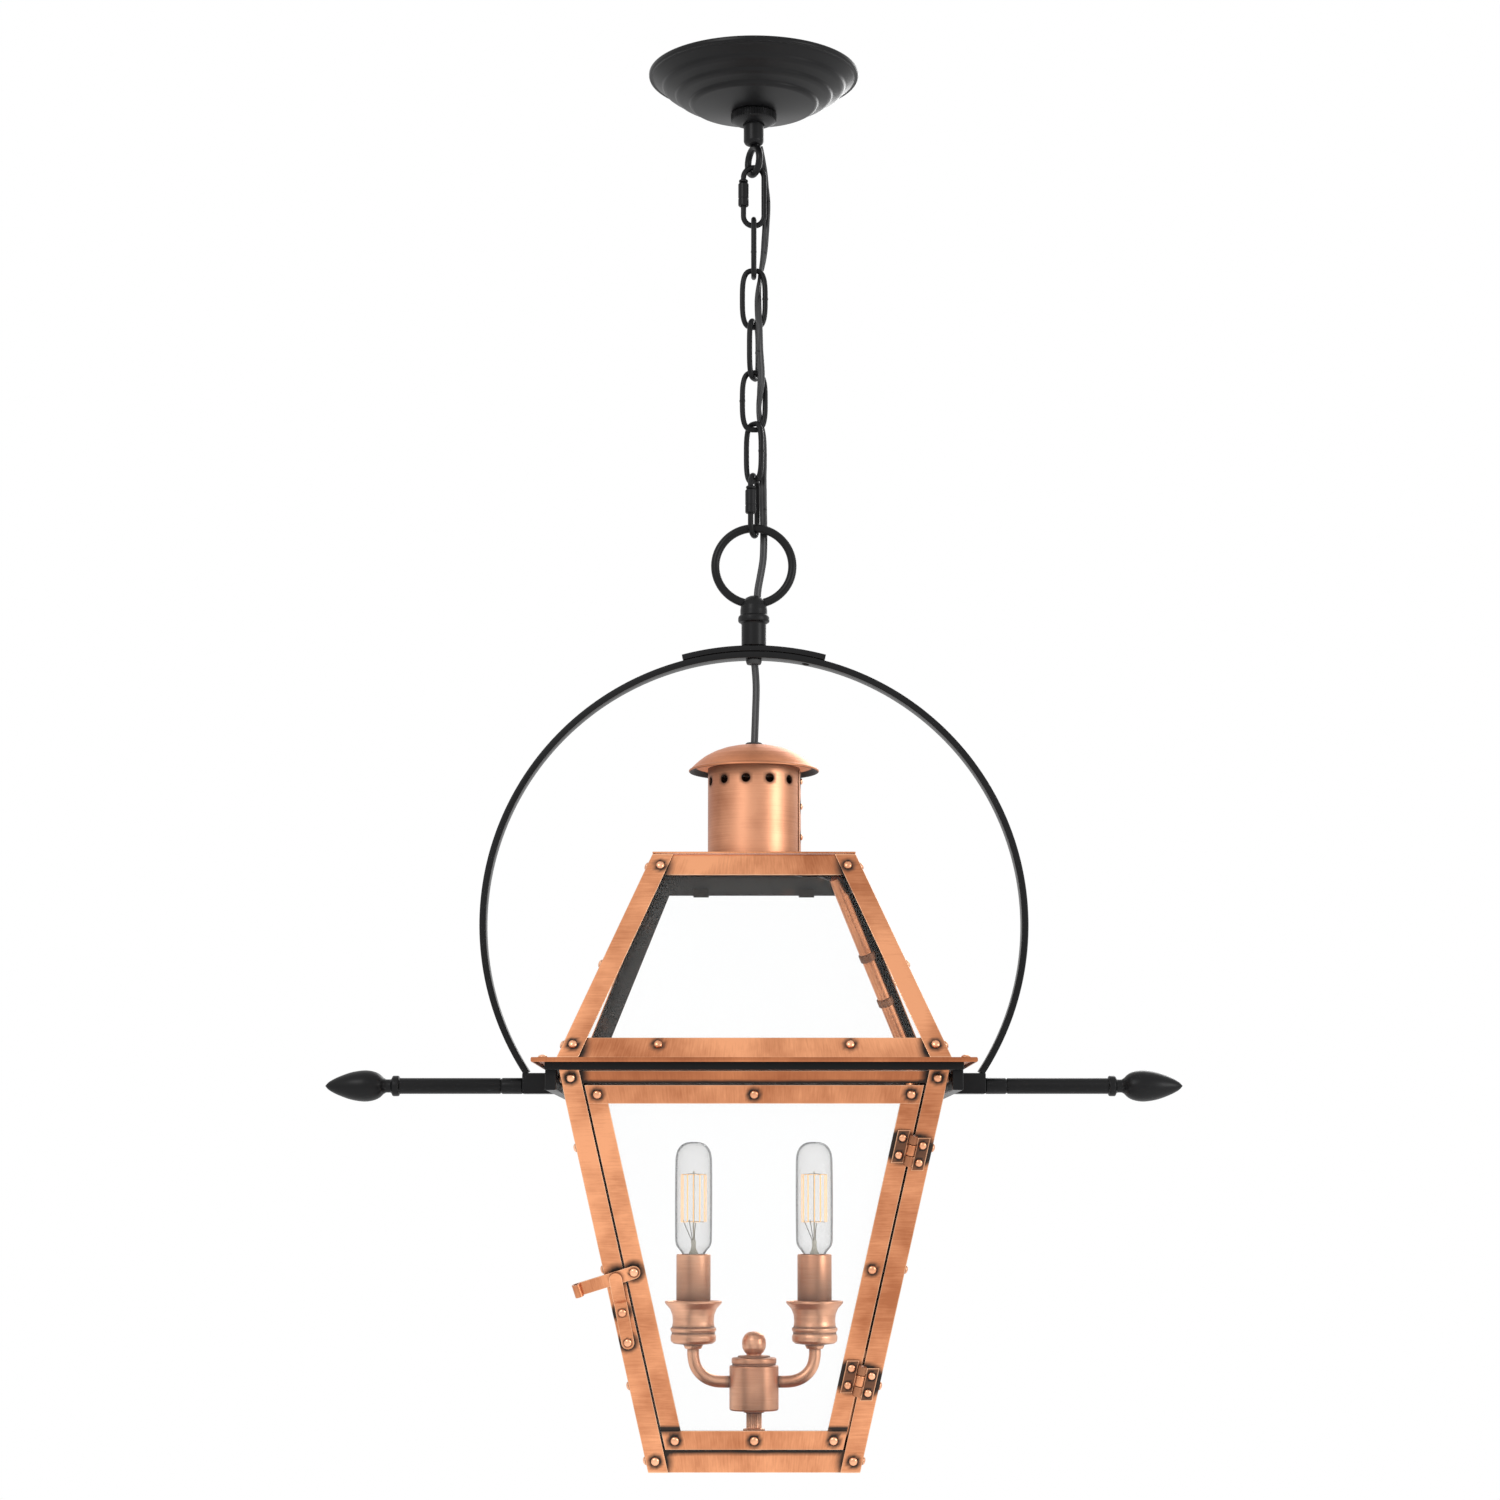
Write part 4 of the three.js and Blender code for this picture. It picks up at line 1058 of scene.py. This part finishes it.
def add_chimney():
    copper_piece("chimney", "lantern", [chimney_tube()], ["chimney_tube"], mat=SPUN, bevel=0, smooth=50)

    def on_seam(a, z):
        return (SEAM_RADIUS * math.sin(a), -SEAM_RADIUS * math.cos(a), z)

    def seam(u, v):
        return on_seam(SEAM_ANGLE + (v - 0.5) * 0.3, -505 - 62 * u)

    out = (math.sin(SEAM_ANGLE), -math.cos(SEAM_ANGLE), 0)
    seam_rivets = [(Vector(on_seam(SEAM_ANGLE + 0.05, z)), Vector(out)) for z in (-512, -529.5, -550.8)]
    copper_piece("chimney_seam", "lantern", [plate(seam, 62, 9.7, 0.6, out, 20, 6)], (),
                 halos_of(seam_rivets), SPUN)
    rivet_piece("chimney_rivets", "lantern", seam_rivets, 2.2, 1.4)
    cap = [(3.6, -486.5), (8, -486.7), (14, -487.4), (21, -489), (28, -491.6), (34, -494.8), (38.5, -498.2),
           (41.6, -501), (43.4, -503), (45, -504), (45.2, -504.8), (44.6, -505.4), (43.2, -505.2),
           (40.6, -502.4), (37.6, -499.3), (33.3, -496), (27.5, -492.8), (20.7, -490.2), (13.9, -488.6),
           (8, -487.9), (3.6, -487.7)]
    verts, faces, grain = lathe(fillet(cap, 0.8, 2), 96, closed=True)
    # Painted shade on the underside of the cap, and a little towards its rim.
    under = [1.0 if p.z < -487.6 - 0.0088 * (p.x ** 2 + p.y ** 2) - 0.2 else
             0.35 * max(0, 1 - (45 - math.hypot(p.x, p.y)) / 3) for p in verts]
    copper_piece("cap_dome", "lantern", [(verts, faces, grain, under)], ["chimney_cap"], mat=LIGHTENED_CAP, bevel=0,
                 smooth=50)
    strip = block(-29.6, 29.6, -6, 6, -508, -506)
    post = lathe([(0.01, -506.5), (5, -506.5), (5, -492), (0.01, -492)], 32)
    # The bridge and post under the cap are painted dark as shade.
    copper_piece("cap_bridge", "lantern", [(*strip, None, 0.8), (*post, 0.8)], ["cap_support"], bevel=0.3)
    grommet = fillet([(0.01, -490.5), (3.2, -490.5), (3.2, -486.2), (6, -486.2), (6, -485.6), (5.2, -484.7),
                      (0.01, -484.7)], 0.4, 3)
    piece("cap_cord_grommet", RUBBER, "lantern", "rubber", [lathe(grommet, 40)], ["cap_grommet"])
    wire = smooth_points([(0, 0, -507.5), (3, 2, -535), (14, 10, -566), (30, 28, -573.5), (46, 45, -573),
                          (54, 54, -574.5)])
    piece("lamp_wire", CORD, "lantern", "cord", [sweep(wire, round_section(1.2, 10))], smooth=60)


# ---- Body ---------------------------------------------------------------------------------


def add_body():
    post_places = [(s * (body_half(z) - dx), z) for s in (-1, 1) for z, dx in ((-720.5, 6.6), (-966.5, 6.2))]
    post_rivets = wall_rivets(body_half, post_places)
    side_places = [(s * (body_half(z) - 6.4), z) for s in (-1, 1) for z in (-765, -843, -918)]
    post_rivets += wall_rivets(body_half, side_places, 0, (1, 2, 3))
    # Painted shadows on the posts under the keeper, beside the latch arm's tip and round the hinges; painted
    # shade round the rivets.
    keeper = [((-85.8, -body_half(-870), -870), None), ((-81.9, -body_half(-889.4), -889.4), None)]
    hinge_shade = [((body_half(z) - HINGE_INSET + 5, -body_half(z), z), 9, 14) for z in HINGE_LEVELS]
    shade = halos_of(post_rivets) + halos_of(keeper, 5, 9) + hinge_shade + [((-88, -body_half(-847), -847), 4, 12)]
    for i, corner in enumerate(CORNER_NAMES):
        copper_piece(f"post_strip_{corner}", "lantern", [
            corner_strip(body_half, BODY_TOP, BODY_BOTTOM, POST_WIDTH, 150, i)],
            [f"post_{corner}"], shade)
    top = [edge_shade(square_band(body_half, -716, -724, 1.5, SHEET, q, 5, 90), -724) for q in range(4)]
    base = [edge_shade(square_band(body_half, -959.7, -973.9, 1.5, SHEET, q, 6, 60), -959.7)
            for q in range(4)]
    # Painted shade on the rails near the corners, where they pass under the post strips.
    corner_shade = [((x, y, z), 11.5, 19) for z, h in ((-720, 123), (-967, 69)) for x in (-h, h) for y in (-h, h)]
    copper_piece("body_rail_top", "lantern", top, ["body_top_rail"], corner_shade, SHADED)
    copper_piece("body_rail_base", "lantern", base, ["body_base_rail"], corner_shade)
    rivet_piece("body_rivets", "lantern", post_rivets)
    for i, side in enumerate(SIDE_NAMES):
        if side == "front":
            continue
        part = wall_strip(body_half, -711, -970.8, lambda z: 5.3 - body_half(z), lambda z: body_half(z) - 5.3,
                          3.0, 2.0, 2, 2, i)
        piece(f"pane_{side}", PANE, "lantern", "clear_glass", [part], [f"body_glass_{side}"], bevel=0.2)
    copper_piece("floor_sheet", "lantern", [(*block(-66, 66, -66, 66, -972.6, -971.2), None, 0.4)],
                 ["floor_plate"], bevel=0.3)


FACE_OUT = Vector((0, -1, -SLOPE)).normalized()
LINE = Vector((SLOPE, -SLOPE, 1)).normalized()
WALL_UP = Vector((0, -SLOPE, 1)).normalized()


def face_point(x, z, out=0.0):
    """Point on the front wall, or in front of it."""
    return Vector((x, -body_half(z), z)) + FACE_OUT * out


def hinge_line(z):
    return Vector((body_half(z) - HINGE_INSET, -body_half(z) - 3, z))


def leaf_part(z, x0, x1, low, high, out):
    """Hinge leaf: offsets from the hinge line and from the hinge's middle."""
    def corner(u, v):
        height = z + low + (high - low) * u
        return face_point(body_half(height) - HINGE_INSET + x0 + (x1 - x0) * v, height, out)

    verts, faces, grain, patina, edge_glint = plate(corner, high - low, abs(x1 - x0), 1.1, FACE_OUT, 14, 8)
    dark = [max(p, 0.78 * (1 - w)) for p, w in zip(patina, edge_glint)]
    return verts, faces, grain, dark, edge_glint


def barrel(z, low, high, radius=2.75):
    length = high - low
    profile = fillet([(0.01, 0), (radius, 0), (radius, length), (0.01, length)], 0.4, 3)
    return lathe(profile, 28, hinge_line(z) + LINE * low, LINE)


def hinge_parts(z, door):
    side = -1 if door else 1
    lift = 2.5 if door else -2.5
    parts = [leaf_part(z, side * 3.1, side * 11, lift - 10.5, lift + 10.5, 1.3)]
    if door:
        parts += [leaf_part(z, -3.4, 0.4, -3.2, 3.2, 1.3), (*barrel(z, -3.5, 3.5), 0.05)]
    else:
        parts += [leaf_part(z, -0.4, 3.4, -10.4, -4.2, 1.3), leaf_part(z, -0.4, 3.4, 4.2, 8, 1.3),
                  (*barrel(z, -10.5, -3.9), 0.45), (*barrel(z, 3.9, 9.5), 0.55)]
    rivets = []
    for dz in ((-3, 8) if door else (-8, 3)):
        height = z + dz
        x = body_half(height) - HINGE_INSET + side * 7
        rivets.append((face_point(x, height, 1.3), FACE_OUT))
    return parts, rivets


def add_hinges():
    for name, z in (("upper", HINGE_LEVELS[0]), ("lower", HINGE_LEVELS[1])):
        for half, body, door in (("post", "lantern", False), ("door", "door", True)):
            parts, rivets = hinge_parts(z, door)
            copper_piece(f"hinge_{name}_{half}", body, parts, (), halos_of(rivets, 2.7, 4.4), bevel=0.2)
            rivet_piece(f"hinge_{name}_{half}_rivets", body, rivets, 2.5, 1.6)


def add_door():
    def left(z):
        return DOOR_INSET - body_half(z)

    def right(z):
        return body_half(z) - DOOR_INSET

    rivet_spots = [(-101, -731), (0, -731), (101, -731), (-51.5, -953), (0, -953), (51.5, -953),
                   (76.3, -843)]
    rivets = []
    for x, z in rivet_spots:
        out = 0.0 if z == -843 else 0.6
        rivets.append((face_point(x, z, out), FACE_OUT))
    # Painted shade round the rivets, the hinges and the latch, and a thin painted shadow along the stiles'
    # feet above the bottom rail.
    latch = face_point(LATCH_X, LATCH_Z)
    hinge_shade = [((body_half(z) - HINGE_INSET - 6, -body_half(z), z + 2), 9, 14) for z in HINGE_LEVELS]
    shade = halos_of(rivets) + hinge_shade + [(latch, 5, 10)]
    for start, end in ((-60, -49), (49, 60)):
        shade += [((x, -body_half(-945), -945.6), 0.9, 3.4) for x in np.linspace(start, end, 12)]
    high, low = DOOR_TOP - 0.6, DOOR_BOTTOM + 0.6
    strips = [
        wall_strip(body_half, high, low, left, lambda z: left(z) + STILE, 0.0, SHEET, 110, 6),
        wall_strip(body_half, high, low, lambda z: right(z) - STILE, right, 0.0, SHEET, 110, 6),
        wall_strip(body_half, DOOR_TOP, DOOR_RAIL_TOP, left, right, -0.6, 1.0, 6, 100),
        wall_strip(body_half, DOOR_RAIL_BOTTOM, DOOR_BOTTOM, left, right, -0.6, 1.0, 6, 56),
    ]
    copper_piece("door_strips", "door", strips, ["door_frame"], shade)
    rivet_piece("door_rivets", "door", rivets)
    pane = wall_strip(body_half, -727, -957.5, lambda z: left(z) + 1.5, lambda z: right(z) - 1.5, 1.5, 2.0,
                      2, 2)
    piece("door_pane", PANE, "door", "clear_glass", [pane], ["door_glass"], bevel=0.2)


def bent_strip(origin, along, width, line, thick, round_far_end):
    """Strip on the front wall that follows a side-view line of (distance along, distance out)."""
    across = FACE_OUT.cross(along).normalized()
    lanes = [-1, -0.86, -0.5, 0, 0.5, 0.86, 1]
    n = len(lanes)
    verts, grain, edge_glint = [], [], []
    travelled = 0.0
    for i, (s, out) in enumerate(line):
        before, after = line[max(i - 1, 0)], line[min(i + 1, len(line) - 1)]
        tangent = Vector((after[0] - before[0], after[1] - before[1])).normalized()
        if i:
            travelled += math.hypot(s - line[i - 1][0], out - line[i - 1][1])
        half = width / 2
        near = min(s, line[-1][0] - s) if round_far_end else s if i < 8 else half
        if near < half:
            half = math.sqrt(max(half ** 2 - (half - near) ** 2, 0.05))
        for layer in (0, 1):
            for lane in lanes:
                shift = thick * (1 - layer)
                verts.append(origin + along * (s - tangent.y * shift) + across * half * lane
                             + FACE_OUT * (out + tangent.x * shift))
                grain.append((travelled, half * lane + layer * 9, 0))
                # Painted highlight along the strip's outer edges.
                edge_glint.append(1.0 if abs(lane) == 1 and not layer else 0.0)
    faces = []
    for i in range(len(line) - 1):
        a, b = i * 2 * n, (i + 1) * 2 * n
        for j in range(n - 1):
            faces.append((a + j, a + j + 1, b + j + 1, b + j))
            faces.append((b + n + j, b + n + j + 1, a + n + j + 1, a + n + j))
        faces.append((b, b + n, a + n, a))
        faces.append((a + n - 1, a + 2 * n - 1, b + 2 * n - 1, b + n - 1))
    last = (len(line) - 1) * 2 * n
    for j in range(n - 1):
        faces.append((j, n + j, n + j + 1, j + 1))
        faces.append((last + j + 1, last + n + j + 1, last + n + j, last + j))
    return verts, facing(verts, faces, FACE_OUT), grain, 0.0, edge_glint


LATCH_X, LATCH_Z = -77.7, -844


def add_keeper():
    low, high = Vector((-81.0, 0, -893.6)), Vector((-89.9, 0, -842.6))
    along = (high - low).normalized()
    along = (along - FACE_OUT * along.dot(FACE_OUT)).normalized()
    length = 51.6
    steps = [0, 0.3, 0.9, 1.8, 2.9, 4.2] + [5 + 1.2 * i for i in range(35)]
    steps = [s for s in steps if s < length - 4.4] + [length - d for d in (4.2, 2.9, 1.8, 0.9, 0.3, 0)]

    def rise(s):
        t = min(max((s - 30) / 6.5, 0), 1)
        return 0.35 + 4.1 * t * t * (3 - 2 * t)

    origin = face_point(low.x, low.z)
    rivets = [(origin + along * s + FACE_OUT * 1.75, FACE_OUT) for s in (4.3, 24.3)]
    strip = bent_strip(origin, along, 8.3, [(s, rise(s)) for s in steps], 1.4, True)
    copper_piece("keeper_strip", "lantern", [strip], ["latch_keeper"], halos_of(rivets, 2.7, 3.8))
    rivet_piece("keeper_rivets", "lantern", rivets, 2.6, 1.6)


def add_latch_arm():
    pivot = face_point(LATCH_X, LATCH_Z, 2.2)
    crossing = face_point(-88.8, -847.6, 3)
    tilt = math.radians(17.5)
    along = (Vector((-1, 0, 0)) * math.cos(tilt) - WALL_UP * math.sin(tilt)).normalized()
    start = pivot - along * 4.2
    reach, radius = 42.0, 2.8
    line = [(s, 0.0) for s in (0, 0.3, 0.9, 1.8, 2.9, *np.linspace(4.2, reach, 24))]
    for i in range(1, 25):
        a = i / 24 * math.radians(300)
        line.append((reach + radius * math.sin(a), radius * (1 - math.cos(a))))
    arm = bent_strip(start, along, 8.4, line, 1.1, False)
    shade = [(pivot + FACE_OUT, 2.9, 4.4), (crossing, 1, 6.8)]
    copper_piece("latch_arm_strip", "latch", [arm], ["latch_arm"], shade)
    rivet_piece("latch_rivet", "latch", [(pivot + FACE_OUT * 1.1, FACE_OUT)], 2.8, 1.7)
    # The spacer under the arm is painted dark as shade.
    stud = lathe([(0.01, 0), (2.2, 0), (2.2, 2.0), (0.01, 2.0)], 24, face_point(LATCH_X, LATCH_Z), FACE_OUT)
    copper_piece("latch_spacer", "door", [(*stud, 0.9)], (), bevel=0.1)


# ---- Lamp cluster -------------------------------------------------------------------------


def groove_shade(part, levels, reach=1.6, strength=0.75):
    """Darkens a turned piece near the given heights."""
    verts, faces, grain = part
    dark = [max([0.0] + [strength * max(0, 1 - abs(p.z - z) / reach) for z in levels]) for p in verts]
    return verts, faces, grain, dark


LAMP_REACH = 41
FILAMENT_RADIUS = 8.4


def lamp_arm(side):
    """Cup and curved arm on one side of the column."""
    x = side * LAMP_REACH
    cup = fillet([
        (0.01, -898.2), (5.4, -898.2), (6.2, -896.6), (6.6, -895.4), (13.2, -894.6), (15.2, -893),
        (15.4, -889.6), (14.6, -888.2), (14.6, -887), (15.5, -885.6), (15.5, -884.4), (14.3, -883.4),
        (13.9, -880), (14.2, -875.6), (15.8, -871.4), (18.6, -868.4), (19.3, -867.6), (19.3, -866.3),
        (18.2, -866.3), (14.6, -870.4), (13.2, -874), (12.9, -877.5), (0.01, -877.5),
    ], 0.7, 3)
    path = smooth_points([
        (x, 0, -896), (x, 0, -903), (side * 39, 0, -910.5), (side * 34, 0, -916.2),
        (side * 27, 0, -919.3), (side * 14, 0, -920)], 8)
    verts, faces, grain = sweep(path, round_section(4, 24), lambda i: (0, 1, 0))
    # Painted shade where the arm joins the column and the cup.
    dark = [0.8 * max(0, 1 - (abs(p.x) - 16) / 5) + 0.5 * max(0, 1 - (-898 - p.z) / 3) for p in verts]
    return [groove_shade(lathe(cup, 72, (x, 0, 0)), (-887.6, -883.6, -895.2)),
            (verts, faces, grain, [min(1, max(0, d)) for d in dark])]


def add_candle(name, x):
    sleeve = fillet([
        (0.01, -866), (11.6, -866), (11.6, -835.6), (11.1, -835), (10.4, -835), (10.2, -835.6),
        (10.2, -838), (6.9, -838), (6.9, -861.6), (0.01, -861.6)], 0.3, 2)
    copper_piece(f"candle_sleeve_{name}", "lantern", [
        groove_shade(lathe(sleeve, 64, (x, 0, 0)), (-866, -838.5), 3, 0.7)],
        [f"candle_{name}"], mat=TURNED, bevel=0, smooth=40)


def add_lamps():
    column = [
        (0.01, -970.9), (9, -970.9), (9, -966.4), (5, -965.4), (4.6, -964), (4.6, -953.2), (7.4, -952.9),
        (7.4, -951), (5.2, -950.6), (5.2, -940.6), (7, -940.2), (7, -938.9), (15.8, -938.8), (16.6, -938),
        (16.6, -909.8), (16.2, -909.2), (14.7, -908.9), (14.7, -907.8), (15.15, -907.4), (15.15, -904.6),
        (14.5, -903.9), (11, -903.7), (10.8, -902.6), (5, -902.4), (5, -901.6), (6.6, -900),
        (7.8, -897.6), (8.15, -894.6), (7.8, -891.6), (6.4, -888.8), (4, -887), (0.01, -886.4),
    ]
    flutes = 24

    def flute(k, j):
        z = column_line[k][1]
        return -0.35 if -950.2 < z < -941 and j % (96 // flutes) < 2 else 0.0

    column_line = fillet(column, 0.45, 3)
    body = groove_shade(lathe(column_line, 96, knurl=flute), (-951.9, -940.4, -908.3, -903.2, -965))
    copper_piece("lamp_column", "lantern", [body, *lamp_arm(-1), *lamp_arm(1)], ["lamp_cluster"],
                 mat=TURNED, bevel=0, smooth=40)
    for name, side in (("left", -1), ("right", 1)):
        add_candle(name, side * LAMP_REACH)
        add_bulb(name, side * LAMP_REACH)


def add_bulb(name, x):
    body = f"bulb_{name}"

    def bulb_piece(part_name, mat, parts, replaces=(), smooth=60):
        piece(f"{body}_{part_name}", mat, body, "lamp_glass", parts, replaces, smooth=smooth)

    def spot(reach, degrees, z):
        a = math.radians(degrees)
        return Vector((x + reach * math.cos(a), reach * math.sin(a), z))

    outer = [(6.3, -837.2), (7.2, -835.4), (9.2, -832.6), (11.4, -829.8), (12.3, -827), (12.5, -823),
             (12.5, -773), (12.2, -769), (11, -765), (8.6, -761.8), (5.2, -760), (2, -759.55), (0.3, -759.5)]
    line = [tuple(p)[:2] for p in smooth_points([(r, z, 0) for r, z in outer], 4)]
    inner = [(max(r - 0.6, 0.25), z - 0.25 if z > -764 else z) for r, z in reversed(line)]
    bulb_piece("glass", BULB, [lathe(line + inner, 64, (x, 0, 0), closed=True)], [body])
    screw = [(0.01, -861.3), (2.6, -861.3), (3.2, -859.6), (5.2, -858.4)]
    screw += [(6.3 if i % 2 else 5.8, -857.4 + 1.25 * i) for i in range(15)]
    screw += [(6.2, -838.6), (5.2, -837.4), (0.01, -837.4)]
    bulb_piece("screw", BRASS, [lathe(screw, 48, (x, 0, 0))], smooth=50)
    stem = [(0.01, -837.2), (4.6, -837.2), (3.4, -834.6), (2, -832), (1.5, -829), (1.8, -826.6),
            (1.4, -825.6), (0.6, -825), (0.6, -779.5), (0.01, -779.3)]
    bulb_piece("stem", STEM_GLASS, [lathe(stem, 24, (x, 0, 0))])
    supports = []
    for turn, top, low in ((200, -812, 7.6), (235, -812, 5.2), (300, -814, 3)):
        path = [spot(1.2, turn, -826), spot(0.6 * low, turn, -819), spot(low, turn, top)]
        supports.append(sweep(path, round_section(0.28, 8)))
    for z, first in ((-781.5, 0), (-813.5, 30)):
        for k in range(6):
            path = [Vector((x, 0, z + 0.6)), spot(FILAMENT_RADIUS, 60 * k + first, z)]
            supports.append(sweep(path, round_section(0.16, 6)))
    bulb_piece("supports", STEM_WIRE, supports)
    glow = []
    for k in range(12):
        high, low = spot(FILAMENT_RADIUS, 30 * k, -781.6), spot(FILAMENT_RADIUS, 30 * k, -813.4)
        glow += [high, low] if k % 2 else [low, high]
    path = [a.lerp(b, t) for a, b in zip(glow, glow[1:]) for t in (0, 0.5)] + [glow[-1]]
    bulb_piece("filament", FILAMENT, [sweep(path, round_section(0.3, 6))])


def add_conduit():
    def roof(z):
        return (roof_half(z) - 11.5, roof_half(z) - 11.5, z)

    def body(z):
        return (body_half(z) - 11.2, body_half(z) - 11.2, z)

    path = smooth_points([roof(-573), roof(-630), roof(-690), (114.4, 114.4, -708), body(-728), body(-800),
                          body(-885), body(-969)], 14)
    parts = [(*sweep(path, round_section(5, 28)), 0.12)]
    for z, place, slope in ((-627, roof, 0.4298), (-658, roof, 0.4298), (-905, body, -SLOPE)):
        line = Vector((-slope, -slope, 1)).normalized()
        ring = [(5.05, -3), (5.9, -2.7), (5.9, 2.7), (5.05, 3)]
        parts.append((*lathe(fillet(ring + [(5.05, 3)], 0.3, 2), 36, place(z), line, closed=True), 0.7))
    copper_piece("conduit_tube", "lantern", parts, ["conduit"], bevel=0, smooth=50)


def add_tabs():
    """Small tabs inside the strips that hold the panes."""
    made = Build()
    for quarter in range(4):
        for x in (-43, 32):
            tab = wall_strip(roof_half, -580, -585.6, lambda _: x, lambda _: x + 11, 5.3, 0.8, 2, 2, quarter)
            # The tabs are painted dark all over, as shade inside the roof.
            made.add(tab[0], tab[1], tab[2], 1.0)
    made.object("pane_tabs", COPPER, "lantern", "aged_copper", bevel=0.15)


add_camera()
add_studio()
add_cords()
add_ceiling_parts()
add_chain()
add_suspension()
add_yoke()
add_roof()
add_eave()
add_chimney()
add_body()
add_hinges()
add_door()
add_keeper()
add_latch_arm()
add_lamps()
add_conduit()
add_tabs()
